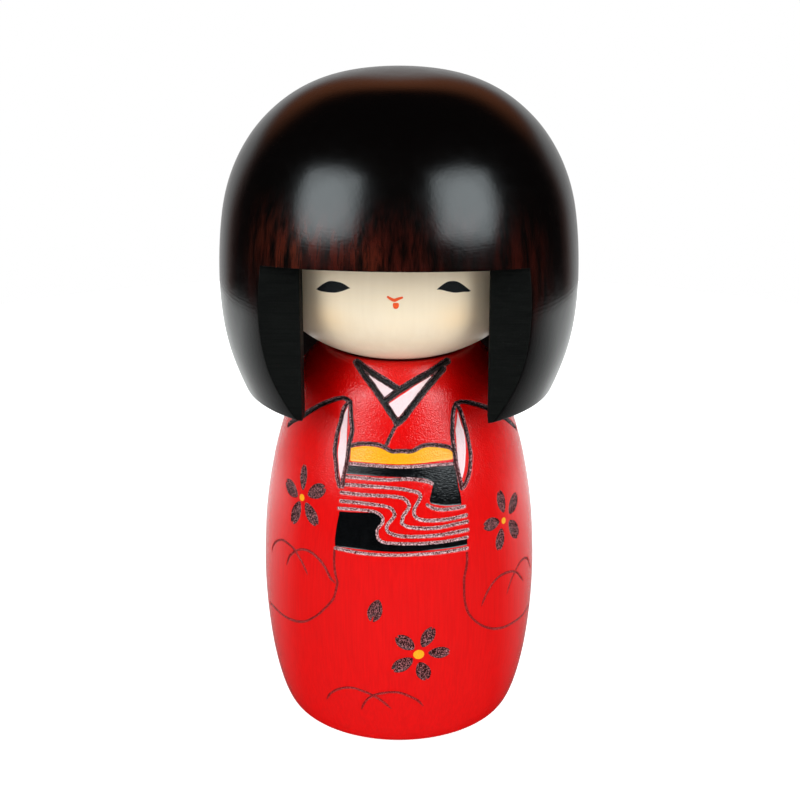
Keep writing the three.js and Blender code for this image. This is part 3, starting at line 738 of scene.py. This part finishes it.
def bare_wood():
    m = Mat("dowel_bare_wood", Roughness=0.6)
    here = m.where()
    grain = m.noise(m.scaled(here, 1, 1, 0.03), 1700, 4, 0.6)
    rings = m.noise(m.scaled(here, 1, 1, 0.02), 420, 2, 0.6)
    base = m.mix(m.ramp(grain, 0.3, 0.75), (0.60, 0.42, 0.23), (0.76, 0.58, 0.36))
    base = m.mix(m.ramp(rings, 0.45, 0.6, 0, 0.4), base, (0.52, 0.34, 0.17))
    m.set("Base Color", base)
    m.set("Roughness", m.ramp(grain, 0.3, 0.7, 0.52, 0.70))
    m.set("Normal", m.bump(grain, 0.00004))
    return m.m


RED, PALE, LACQUER, SAWN, BARE = red_kimono(), pale_face(), lacquer(), sawn_black(), bare_wood()


# ------------------------------------------------------------------ kimono body
def build_body():
    outline = smooth_curve(BODY_OUTER + [[BORE_R, BODY_TOP]], 60)
    t = Turned(fair(outline, 1.3, 8.0, 2.0))
    c = Carving(t)
    L = LINES
    for k in ("collar_in_l", "collar_out_l", "collar_in_r", "collar_out_r"):
        c.line("ink", L[k], 0.62, wide=1.28)
    c.line("ink", L["collar_tail"], 0.35, wide=1.2)
    for k in ("shoulder_l", "shoulder_r"):
        c.line("ink", L[k], 0.5, wide=1.12)
    for k in ("slitg_l1", "slitg_l2", "slitg_r1", "slitg_r2", "sash_top"):
        c.line("ink2", L[k], 0.42, wide=1.3)
    for k in ("strA", "strA2", "strB", "strC", "strD", "strE", "sash_bot", "obi_bot"):
        c.line("stream", L[k], 0.34, wide=1.3)
    for k in ("sleeve_l", "sleeve_r"):
        c.line("thin", L[k], 0.24)
    for k in ("cl1", "cl2", "cr1", "cr2", "cb1", "cb2"):
        c.line("thin", L[k], 0.24, taper=2.2)
    for k, group, depth in (("white_l", "white", 0.10), ("white_r", "white", 0.10), ("slit_l", "slit", 0.12), ("slit_r", "slit", 0.12),
                            ("yellow", "yellow", 0.05), ("obi_up", "obi", 0.10), ("obi_lo", "obi", 0.10)):
        q = np.asarray(L[k], float)
        c.patch(group, q[:, 0], t.s_at(q[:, 1]), depth, 0.2)

    def petal(cu, cz, a, b, half, notch=0.16):
        """A petal from its base a to its tip b, as angle and height, on the tangent plane at (cu, cz)."""
        r, s0 = float(t.r(t.s_at(cz))), float(t.s_at(cz))
        A = np.array([math.radians(a[0] - cu) * r, t.s_at(a[1]) - s0])
        B = np.array([math.radians(b[0] - cu) * r, t.s_at(b[1]) - s0])
        B = A + 1.06 * (B - A)
        A = A - 0.04 * (B - A)
        ax = B - A
        n = np.array([-ax[1], ax[0]]) / np.hypot(*ax)
        x = np.linspace(0, 1, 15)
        w = np.sin(np.pi * x ** 0.9) ** 0.62 * (0.72 + 0.38 * x)
        w = w / w.max() * half * 1.32
        up = A + ax * x[:, None] + n * w[:, None]
        lo = A + ax * x[:, None] - n * w[:, None]
        tip = A + ax * (1 - notch)
        out = np.vstack([up[:-1], (up[-2] * 0.35 + B * 0.65)[None], tip[None], (lo[-2] * 0.35 + B * 0.65)[None], lo[-2:0:-1]])
        c.patch("petal", cu + np.degrees(out[:, 0] / r), out[:, 1] + s0, 0.42, 0.35)

    flowers = [
        ((-47.33, 59.38), 0.66, [((-47.51, 61.2), (-49.1, 66.59), 0.92), ((-43.65, 60.56), (-34.66, 63.35), 1.25),
                                 ((-44.52, 58.48), (-37.07, 54.58), 1.20), ((-48.37, 58.15), (-51.7, 52.75), 1.15),
                                 ((-50.49, 59.21), (-60.64, 60.94), 1.25)]),
        ((50.58, 53.45), 0.62, [((51.36, 55.38), (49.89, 60.41), 1.12), ((55.22, 54.39), (63.51, 57.38), 1.3),
                                ((54.55, 52.5), (60.51, 47.78), 1.3), ((48.62, 51.87), (46.22, 47.25), 1.12),
                                ((47.52, 53.78), (38.45, 54.11), 1.15)]),
        ((8.09, 26.07), 1.0, [((9.73, 28.02), (13.77, 32.63), 1.15), ((12.32, 26.28), (21.28, 25.69), 1.12),
                              ((8.56, 23.86), (11.69, 19.17), 1.28), ((5.39, 25.02), (-2.48, 22.02), 1.28),
                              ((5.96, 27.58), (-0.87, 30.83), 1.25)]),
    ]
    for (cu, cz), dot, petals in flowers:
        for a, b, half in petals:
            petal(cu, cz, a, b, half)
        r, s0 = float(t.r(t.s_at(cz))), float(t.s_at(cz))
        g = np.radians(np.arange(0, 360, 20))
        c.patch("dot", cu + np.degrees(dot * 1.25 * np.cos(g) / r), s0 + dot * 1.2 * np.sin(g), 0.0)
    # one fallen petal
    petal(-10.19, 36.97, (-8.3, 39.6), (-11.0, 34.4), 1.25, 0.30)

    need = NeedMap(t, 0.245, 1.5, 0.55)
    c.mark(need)
    rows = np.concatenate([np.linspace(0, 4, 11), np.linspace(4, t.length, 92)[1:]])
    ob = turned_piece("kimono_body_carved", t, 160, rows,
                      start=[(21.5, 0.0), (20.9, 0.35), (12.0, 0.35), (0, 0.35)],
                      end=[(BORE_R, 80.0), (BORE_R, DOWEL_BOTTOM - 0.3), (0, DOWEL_BOTTOM - 0.3)],
                      carving=c, need=need, limits=(1.4, 1.0, 0.72, 0.52, 0.37, 0.27, 0.21), materials=[RED])
    sharpen(ob, lambda p: (np.abs(np.hypot(p[:, 0], p[:, 1]) - BORE_R) < 0.01))
    return ob


body = build_body()
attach(body, "torso")
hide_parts("kimono_body")


# ------------------------------------------------------------------ neck dowel
def build_dowel():
    ch = DOWEL_CHAMFER
    t = Turned(np.array([[DOWEL_R - ch, DOWEL_BOTTOM], [DOWEL_R, DOWEL_BOTTOM + ch], [DOWEL_R, DOWEL_TOP - ch], [DOWEL_R - ch, DOWEL_TOP]]))
    rows = np.concatenate([[0, 0.4], np.linspace(0.849, t.length - 0.849, 40), [t.length - 0.4, t.length]])
    return turned_piece("neck_dowel_turned", t, 96, rows, start=[(2.5, DOWEL_BOTTOM), (0, DOWEL_BOTTOM)],
                        end=[(2.5, DOWEL_TOP), (0, DOWEL_TOP)], materials=[BARE])


dowel = build_dowel()
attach(dowel, "torso")
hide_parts("neck_dowel")


# ------------------------------------------------------------------ face block
def build_face():
    a = np.linspace(0.012, math.pi / 2, 700)
    r = FACE_R * np.sin(a) ** (2 / CHIN_POWER)
    z = CHEEK_Z - CHIN_DROP * np.maximum(np.cos(a), 0) ** (2 / CHIN_POWER)
    keep = r > BORE_R
    z0 = CHEEK_Z - CHIN_DROP * (1 - (BORE_R / FACE_R) ** CHIN_POWER) ** (1 / CHIN_POWER)
    outline = np.vstack([[[BORE_R, z0]], np.stack([r, z], 1)[keep],
                         [[FACE_R, FACE_TOP - 0.5], [FACE_R - 0.15, FACE_TOP - 0.15], [FACE_R - 0.5, FACE_TOP]]])
    t = Turned(outline)
    c = Carving(t)

    def eye(upper, lower):
        up = smooth_curve(upper, 8)
        lo = smooth_curve([upper[-1], *lower, upper[0]], 8)[1:-1]
        q = np.vstack([up, lo])
        c.patch("eye", q[:, 0], t.s_at(q[:, 1]))

    eye([(-36.63, 108.46), (-33.31, 109.78), (-29.81, 110.82), (-27.92, 111.01), (-26.19, 111.05), (-23.01, 110.88), (-19.24, 110.01)],
        [(-20.5, 109.76), (-22.62, 109.24), (-26.26, 108.59), (-28.06, 108.44), (-31.98, 108.29), (-34.62, 108.29)])
    eye([(17.96, 109.97), (21.04, 111.0), (23.09, 111.42), (25.13, 111.45), (27.26, 111.23), (29.85, 110.46), (32.78, 109.25), (34.3, 108.64)],
        [(33.53, 108.51), (30.79, 108.70), (26.46, 108.81), (23.13, 109.27), (20.25, 109.77)])
    c.line("lip", [(-2.85, 108.66, 0.24), (-1.72, 108.28, 0.31), (-0.11, 107.95, 0.36), (1.5, 108.28, 0.33), (3.11, 108.55, 0.25)], 0.0)
    q = smooth_curve([(-0.7, 107.32), (0.57, 107.4), (1.76, 107.29), (1.84, 106.72), (1.25, 106.17), (0.4, 106.04), (-0.45, 106.23), (-0.79, 106.8)], 4, True)
    c.patch("lip", q[:, 0], t.s_at(q[:, 1]))

    def extra(u, s):
        p = t.point(u, s)
        out = np.zeros(len(u))
        # a warm orange tint over each lower cheek, spread as a soft round patch
        for cu, cz in ((-31.0, 102.6), (27.5, 103.2)):
            q = t.point(np.array([cu]), t.s_at(np.array([cz])))[0]
            d = np.linalg.norm((p - q) * (1, 1, 1.25), axis=1)
            out = np.maximum(out, np.exp(-(d / 4.6) ** 2))
        return {"lower_cheek_warmth": out}

    need = NeedMap(t, 0.17, 1.1, 0.45)
    c.mark(need)
    rows = np.concatenate([np.linspace(0, t.length - 0.75, 48), [t.length - 0.5, t.length - 0.25, t.length]])
    ob = turned_piece("face_block_painted", t, 192, rows,
                      start=[(BORE_R, 96.0), (BORE_R, DOWEL_TOP + 0.3), (0, DOWEL_TOP + 0.3)],
                      end=[(14.0, FACE_TOP), (0, FACE_TOP)],
                      carving=c, need=need, limits=(1.1, 0.8, 0.56, 0.40, 0.28, 0.17), materials=[PALE], yaw=HEAD_YAW, extra=extra)
    sharpen(ob, lambda p: (np.abs(np.hypot(p[:, 0], p[:, 1]) - BORE_R) < 0.01))
    return ob


face = build_face()
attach(face, "head")
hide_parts("face_block")


# ------------------------------------------------------------------ hair cap
def build_hair():
    outer = fair(smooth_curve(HAIR_OUTER, 60), 1.6, 2.0, 3.0)
    t = Turned(outer)
    zs = t.rz[:, 1]

    def fringe_z(y):
        return CEILING_Z + FRINGE_SLOPE * (LOCK_Y - y)

    def s_fringe(x):
        """Distance along the outline where the underside of the fringe cuts the dome, at this x."""
        z = 116.0
        for _ in range(60):
            r = float(np.interp(z, zs, t.rz[:, 0]))
            z = 0.5 * z + 0.5 * fringe_z(-math.sqrt(max(r * r - x * x, 0)))
        r = float(np.interp(z, zs, t.rz[:, 0]))
        return float(t.s_at(z)), math.degrees(math.asin(max(-1, min(1, x / r))))

    r_c = float(np.interp(CEILING_Z, zs, t.rz[:, 0]))
    xc = math.sqrt(r_c ** 2 - LOCK_Y ** 2)          # where fringe and side lock meet on the outside
    xi = WINDOW_HALF                                # inner edge of a side lock
    xs = math.sqrt(SOCKET_R ** 2 - LOCK_Y ** 2)     # where the socket breaks through the cut plane
    half = np.concatenate([np.linspace(0, xs, 7), np.linspace(xs, xi, 15)[1:], np.linspace(xi, xc, 10)[1:]])
    fx = np.concatenate([-half[:0:-1], half])        # x of the columns over the fringe
    th_c = math.degrees(math.acos(-LOCK_Y / r_c))

    bm = bmesh.new()
    patch = bm.faces.layers.int.new("patch")
    turn = bm.verts.layers.float.new("turn_s")
    OUT, FRINGE, LOCK, RIM, WALL, CEIL, SOCK, TOP, SIDE = range(9)

    def V(p, s=0.0):
        v = bm.verts.new(p)
        v[turn] = s
        return v

    def F(vs, k, mat):
        seen = []
        for v in vs:
            if v not in seen:
                seen.append(v)
        if len(seen) >= 3:
            f = bm.faces.new(seen)
            f[patch] = k
            f.material_index = mat
            f.smooth = True

    def at(u, s):
        return t.point(np.array([u]), np.array([s]))[0]

    # outside below the fringe level, round the back from lock to lock
    M = 216
    z_rows = np.linspace(RIM_Z, CEILING_Z, 40)
    low = []
    for z in z_rows:
        s = float(t.s_at(z)) if z > RIM_Z else 0.0
        r = float(t.r(s))
        a = math.degrees(math.acos(-LOCK_Y / r))
        low.append([V(at(a + (360 - 2 * a) * i / M, s), s) for i in range(M + 1)])
    for j in range(len(low) - 1):
        for i in range(M):
            F([low[j][i], low[j][i + 1], low[j + 1][i + 1], low[j + 1][i]], OUT, 0)
    # outside above it: the back columns go on, the front ones start at the fringe
    front = []
    for x in fx[1:-1]:
        s, u = s_fringe(x)
        front.append((u, s))
    columns = [(th_c + (360 - 2 * th_c) * i / M, float(t.s_at(CEILING_Z)), low[-1][i]) for i in range(M + 1)]
    columns += [(u, s, None) for u, s in front]
    start = [v if v is not None else V(at(u, s), s) for u, s, v in columns]
    front_low = [low[-1][M]] + start[M + 1:] + [low[-1][0]]      # left corner to right corner, as seen
    # cells get narrower towards the crown, so the last rows are spaced by radius
    K = 64
    last = start
    s_end = t.length
    for k in range(1, K):
        w = k / K
        row = []
        for u, s, _ in columns:
            q = s + (s_end - s) * w
            row.append(V(at(u, q), q))
        n = len(columns)
        for i in range(n):
            F([last[i], last[(i + 1) % n], row[(i + 1) % n], row[i]], OUT, 0)
        last = row
    crown = V((0, 0, HEIGHT), s_end)
    for i in range(len(last)):
        F([last[i], last[(i + 1) % len(last)], crown], OUT, 0)

    # bore round the back, from the rim to the fringe level
    a_in = math.degrees(math.asin(xi / SOCKET_R))
    wall = []
    for z in np.linspace(RIM_INNER_Z, CEILING_Z, len(z_rows)):
        wall.append([V((SOCKET_R * math.sin(math.radians(a)), -SOCKET_R * math.cos(math.radians(a)), z))
                     for a in (a_in + (360 - 2 * a_in) * i / M for i in range(M + 1))])
    for j in range(len(wall) - 1):
        for i in range(M):
            F([wall[j][i + 1], wall[j][i], wall[j + 1][i], wall[j + 1][i + 1]], WALL, 1)
    # inner edges of the side locks, and the flat window walls behind them
    tilt = (RIM_Z - RIM_INNER_Z) / (HAIR_OUTER[0][0] - SOCKET_R)
    z_edge = np.linspace(RIM_Z - tilt * (HAIR_OUTER[0][0] - math.hypot(xi, LOCK_Y)), CEILING_Z, len(z_rows))
    edge_r = [V((xi, LOCK_Y, z)) for z in z_edge]
    edge_l = [V((-xi, LOCK_Y, z)) for z in z_edge]
    for j in range(len(z_rows) - 1):
        F([edge_r[j], wall[j][0], wall[j + 1][0], edge_r[j + 1]], SIDE, 1)
        F([wall[j][M], edge_l[j], edge_l[j + 1], wall[j + 1][M]], SIDE, 1)
    # rim
    for i in range(M):
        F([low[0][i + 1], low[0][i], wall[0][i], wall[0][i + 1]], RIM, 0)
    F([low[0][0], edge_r[0], wall[0][0]], RIM, 0)
    F([edge_l[0], low[0][M], wall[0][M]], RIM, 0)

    # straight front line of the ceiling, the socket's lower edge in front of it
    line = {}
    for x in fx:
        if abs(abs(x) - xc) < 1e-9:
            continue
        if abs(abs(x) - xi) <= 1e-9:
            line[round(x, 6)] = edge_r[-1] if x > 0 else edge_l[-1]
        elif abs(x) >= xs - 1e-9:
            line[round(x, 6)] = V((x, LOCK_Y, CEILING_Z))
        else:
            y = -math.sqrt(SOCKET_R ** 2 - x * x)
            line[round(x, 6)] = V((x, y, fringe_z(y)))
    # side locks: flat faces
    right = [low[j][0] for j in range(len(low))]
    left = [low[j][M] for j in range(len(low))]
    top_r = [line[round(x, 6)] for x in fx if xi + 1e-6 < x < xc - 1e-6]
    top_l = [line[round(x, 6)] for x in fx if -xc + 1e-6 < x < -xi - 1e-6]
    F([edge_r[0]] + right + top_r[::-1] + edge_r[:0:-1], LOCK, 1)
    F([edge_l[0]] + edge_l[1:] + top_l[::-1] + left[::-1], LOCK, 1)
    # underside of the fringe
    F(front_low + [line[round(x, 6)] for x in fx[1:-1]][::-1], FRINGE, 1)
    # the two small flats behind the fringe, between the window and the bore
    a_s = math.degrees(math.asin(xs / SOCKET_R))
    arc_r = [V((SOCKET_R * math.sin(a), -SOCKET_R * math.cos(a), CEILING_Z))
             for a in (math.radians(a_s + (a_in - a_s) * i / 14) for i in range(1, 14))]
    arc_l = [V((-v.co.x, v.co.y, CEILING_Z)) for v in arc_r]
    line_r = [line[round(x, 6)] for x in fx if xs - 1e-6 < x < xi + 1e-6]
    line_l = [line[round(x, 6)] for x in fx if -xi - 1e-6 < x < -xs + 1e-6][::-1]
    F(line_r + [wall[-1][0]] + arc_r[::-1], CEIL, 1)
    F(line_l + [wall[-1][M]] + arc_l[::-1], CEIL, 1)
    inner = [line[round(xs, 6)]] + arc_r + wall[-1] + arc_l[::-1] + [line[round(-xs, 6)]]
    # socket wall and top
    low_ring = inner + [line[round(x, 6)] for x in fx if abs(x) < xs - 1e-6]
    top_ring = [V((v.co.x, v.co.y, SOCKET_TOP)) for v in low_ring]
    n = len(low_ring)
    for i in range(n):
        F([low_ring[(i + 1) % n], low_ring[i], top_ring[i], top_ring[(i + 1) % n]], SOCK, 1)
    F(top_ring, TOP, 1)

    for v in bm.verts:
        v.co *= MM
    bmesh.ops.rotate(bm, verts=bm.verts, cent=(0, 0, 0), matrix=Matrix_z(HEAD_YAW))
    bmesh.ops.recalc_face_normals(bm, faces=bm.faces)
    # edges that get a small round
    weight = bm.edges.layers.float.new("bevel_weight_edge")
    sharp_pairs = {(OUT, FRINGE), (OUT, LOCK), (OUT, RIM), (RIM, WALL), (LOCK, SIDE), (LOCK, RIM)}
    for e in bm.edges:
        if len(e.link_faces) == 2:
            a, b = sorted(f[patch] for f in e.link_faces)
            if a != b and (a, b) in {tuple(sorted(q)) for q in sharp_pairs}:
                e[weight] = 1.0
            elif a != b and (a, b) != (WALL, SOCK):
                e.smooth = False
    open_edges = sum(1 for e in bm.edges if len(e.link_faces) != 2)
    volume = bm.calc_volume()
    me = bpy.data.meshes.new("hair_cap_lacquered")
    bm.to_mesh(me)
    bm.free()
    print("hair faces", len(me.polygons), "open edges", open_edges, "volume mm3", round(volume / MM ** 3))
    me.materials.append(LACQUER)
    me.materials.append(SAWN)
    ob = bpy.data.objects.new("hair_cap_lacquered", me)
    bpy.context.scene.collection.objects.link(ob)
    bev = ob.modifiers.new("edge_round", "BEVEL")
    bev.limit_method = "WEIGHT"
    bev.width = 0.00022
    bev.segments = 3
    bev.profile = 0.5
    bev.use_clamp_overlap = True
    wn = ob.modifiers.new("even_normals", "WEIGHTED_NORMAL")
    wn.mode = "FACE_AREA"
    wn.keep_sharp = True
    return ob


def Matrix_z(degrees):
    from mathutils import Matrix
    return Matrix.Rotation(math.radians(degrees), 3, "Z")


hair = build_hair()
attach(hair, "head")
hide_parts("hair_cap")


# ------------------------------------------------------------------ floor, light, camera
def build_stage():
    me = bpy.data.meshes.new("floor")
    n = 96
    radius = 0.34
    ring = [(radius * math.cos(2 * math.pi * i / n), radius * math.sin(2 * math.pi * i / n), 0) for i in range(n)]
    me.from_pydata(ring, [], [tuple(range(n))])
    floor = bpy.data.objects.new("floor", me)
    bpy.context.scene.collection.objects.link(floor)
    floor.location.z = -0.00002
    m = bpy.data.materials.new("floor_white")
    m.use_nodes = True
    t = m.node_tree
    t.nodes.clear()
    out = t.nodes.new("ShaderNodeOutputMaterial")
    dif = t.nodes.new("ShaderNodeBsdfDiffuse")
    dif.inputs["Color"].default_value = (0.86, 0.86, 0.86, 1)
    em = t.nodes.new("ShaderNodeEmission")
    path = t.nodes.new("ShaderNodeLightPath")
    k = t.nodes.new("ShaderNodeMapRange")
    k.inputs["To Min"].default_value = 0.25
    k.inputs["To Max"].default_value = 0.80
    t.links.new(path.outputs["Is Camera Ray"], k.inputs["Value"])
    # mirrored in the varnish the floor shows dimmer than it lights the doll
    dim = t.nodes.new("ShaderNodeMapRange")
    dim.inputs["To Min"].default_value = 1.0
    t.links.new(path.outputs["Is Glossy Ray"], dim.inputs["Value"])
    place = t.nodes.new("ShaderNodeTexCoord")
    axes = t.nodes.new("ShaderNodeSeparateXYZ")
    t.links.new(place.outputs["Object"], axes.inputs[0])
    depth = t.nodes.new("ShaderNodeMapRange")
    depth.inputs["From Min"].default_value = -0.015
    depth.inputs["From Max"].default_value = 0.12
    depth.inputs["To Min"].default_value = 0.02
    depth.inputs["To Max"].default_value = 1.1
    t.links.new(axes.outputs["Y"], depth.inputs["Value"])
    t.links.new(depth.outputs[0], dim.inputs["To Max"])
    shade = t.nodes.new("ShaderNodeMath")
    shade.operation = "MULTIPLY"
    t.links.new(k.outputs[0], shade.inputs[0])
    t.links.new(dim.outputs[0], shade.inputs[1])
    t.links.new(shade.outputs[0], em.inputs["Strength"])
    white = t.nodes.new("ShaderNodeMath")
    white.operation = "MULTIPLY"
    white.inputs[1].default_value = 0.86
    t.links.new(dim.outputs[0], white.inputs[0])
    t.links.new(white.outputs[0], dif.inputs["Color"])
    add = t.nodes.new("ShaderNodeAddShader")
    t.links.new(dif.outputs[0], add.inputs[0])
    t.links.new(em.outputs[0], add.inputs[1])
    t.links.new(add.outputs[0], out.inputs[0])
    me.materials.append(m)

    def softbox(name, az, el, distance, wide, high, radiance, colour, shape, roll):
        a, e = math.radians(az), math.radians(el)
        target = Vector((0, 0, 0.10))
        place = target + distance * Vector((math.sin(a) * math.cos(e), -math.cos(a) * math.cos(e), math.sin(e)))
        light = bpy.data.lights.new(name, "AREA")
        light.shape = shape
        light.size, light.size_y = wide, high
        light.energy = radiance * math.pi * wide * high * (1.0 if shape == "RECTANGLE" else math.pi / 4)
        light.color = colour
        ob = bpy.data.objects.new(name, light)
        ob.location = place
        turn = (target - place).to_track_quat("-Z", "Y") @ Quaternion((0, 0, 1), math.radians(roll))
        ob.rotation_euler = turn.to_euler()
        ob.visible_camera = False
        bpy.context.scene.collection.objects.link(ob)

    # each softbox is brighter towards its middle: four lit sheets of shrinking size, square and round in turn
    sheets = ((0.74, 0.82, 1.6, "ELLIPSE"), (0.64, 0.70, 1.6, "RECTANGLE"), (0.52, 0.58, 1.4, "RECTANGLE"), (0.44, 0.50, 1.4, "ELLIPSE"))
    for k, (wide, high, radiance, shape) in enumerate(sheets):
        away = 0.9 + 0.002 * k
        softbox("softbox_left_%d" % k, -51, 28, away, wide, high, radiance, (0.88, 0.975, 1.01), shape, 14)
        softbox("softbox_right_%d" % k, 48, 28.2, away, wide, high * 1.02, radiance, (0.88, 0.975, 1.01), shape, -14)

    world = bpy.data.worlds.new("studio")
    bpy.context.scene.world = world
    world.use_nodes = True
    t = world.node_tree
    t.nodes.clear()

    def node(kind, **inputs):
        n = t.nodes.new(kind)
        for k, v in inputs.items():
            s = n.inputs[int(k[1:])] if k.startswith("i") and k[1:].isdigit() else n.inputs[k.replace("_", " ")]
            if isinstance(v, bpy.types.NodeSocket):
                t.links.new(v, s)
            else:
                s.default_value = v
        return n

    def ramp(v, a, b, lo=0.0, hi=1.0):
        n = node("ShaderNodeMapRange", Value=v, From_Min=a, From_Max=b, To_Min=lo, To_Max=hi)
        n.interpolation_type = "SMOOTHSTEP"
        return n.outputs[0]

    def mul(a, b):
        n = node("ShaderNodeMath", i0=a, i1=b)
        n.operation = "MULTIPLY"
        return n.outputs[0]

    def mix(f, a, b):
        n = t.nodes.new("ShaderNodeMix")
        n.data_type = "RGBA"
        for i, v in ((0, f), (6, a), (7, b)):
            if isinstance(v, bpy.types.NodeSocket):
                t.links.new(v, n.inputs[i])
            else:
                n.inputs[i].default_value = (*v, 1.0) if isinstance(v, tuple) and len(v) == 3 else v
        return n.outputs[2]

    where = node("ShaderNodeTexCoord").outputs["Generated"]
    xyz = node("ShaderNodeSeparateXYZ", Vector=where).outputs
    back = ramp(xyz[1], 0.55, 0.86)
    sheet = mul(back, ramp(xyz[2], 0.36, 0.12))
    warm = mul(back, mul(ramp(xyz[2], 0.14, 0.38), ramp(xyz[2], 0.66, 0.46)))
    colour = mix(sheet, (0.008, 0.008, 0.009), mix(ramp(xyz[1], 0.62, 0.80), (0.46, 0.24, 0.20), (0.55, 0.55, 0.55)))
    colour = mix(warm, colour, (0.36, 0.12, 0.055))
    path = node("ShaderNodeLightPath")
    # soft fill from the pale room, which the varnish does not mirror
    fill = mix(ramp(xyz[1], -0.1, 0.6), (0.28, 0.27, 0.25), (0.60, 0.58, 0.55))
    colour = mix(path.outputs["Is Diffuse Ray"], colour, fill)
    room = node("ShaderNodeBackground", Color=colour)
    plain = node("ShaderNodeBackground", Color=(1, 1, 1, 1))
    both = node("ShaderNodeMixShader", i0=path.outputs["Is Camera Ray"], i1=room.outputs[0], i2=plain.outputs[0])
    node("ShaderNodeOutputWorld", Surface=both.outputs[0])

    cam = bpy.data.cameras.new("camera")
    cam.sensor_width = 36.0
    cam.lens = 82.35
    cam.clip_start = 0.01
    ob = bpy.data.objects.new("camera", cam)
    ob.location = (0.000229, -0.391249, 0.225118)
    ob.rotation_euler = (math.radians(69.0), 0, 0)
    bpy.context.scene.collection.objects.link(ob)
    bpy.context.scene.camera = ob
    bpy.context.scene.view_settings.view_transform = "Standard"
    bpy.context.scene.view_settings.look = "None"


build_stage()

bpy.context.view_layer.update()
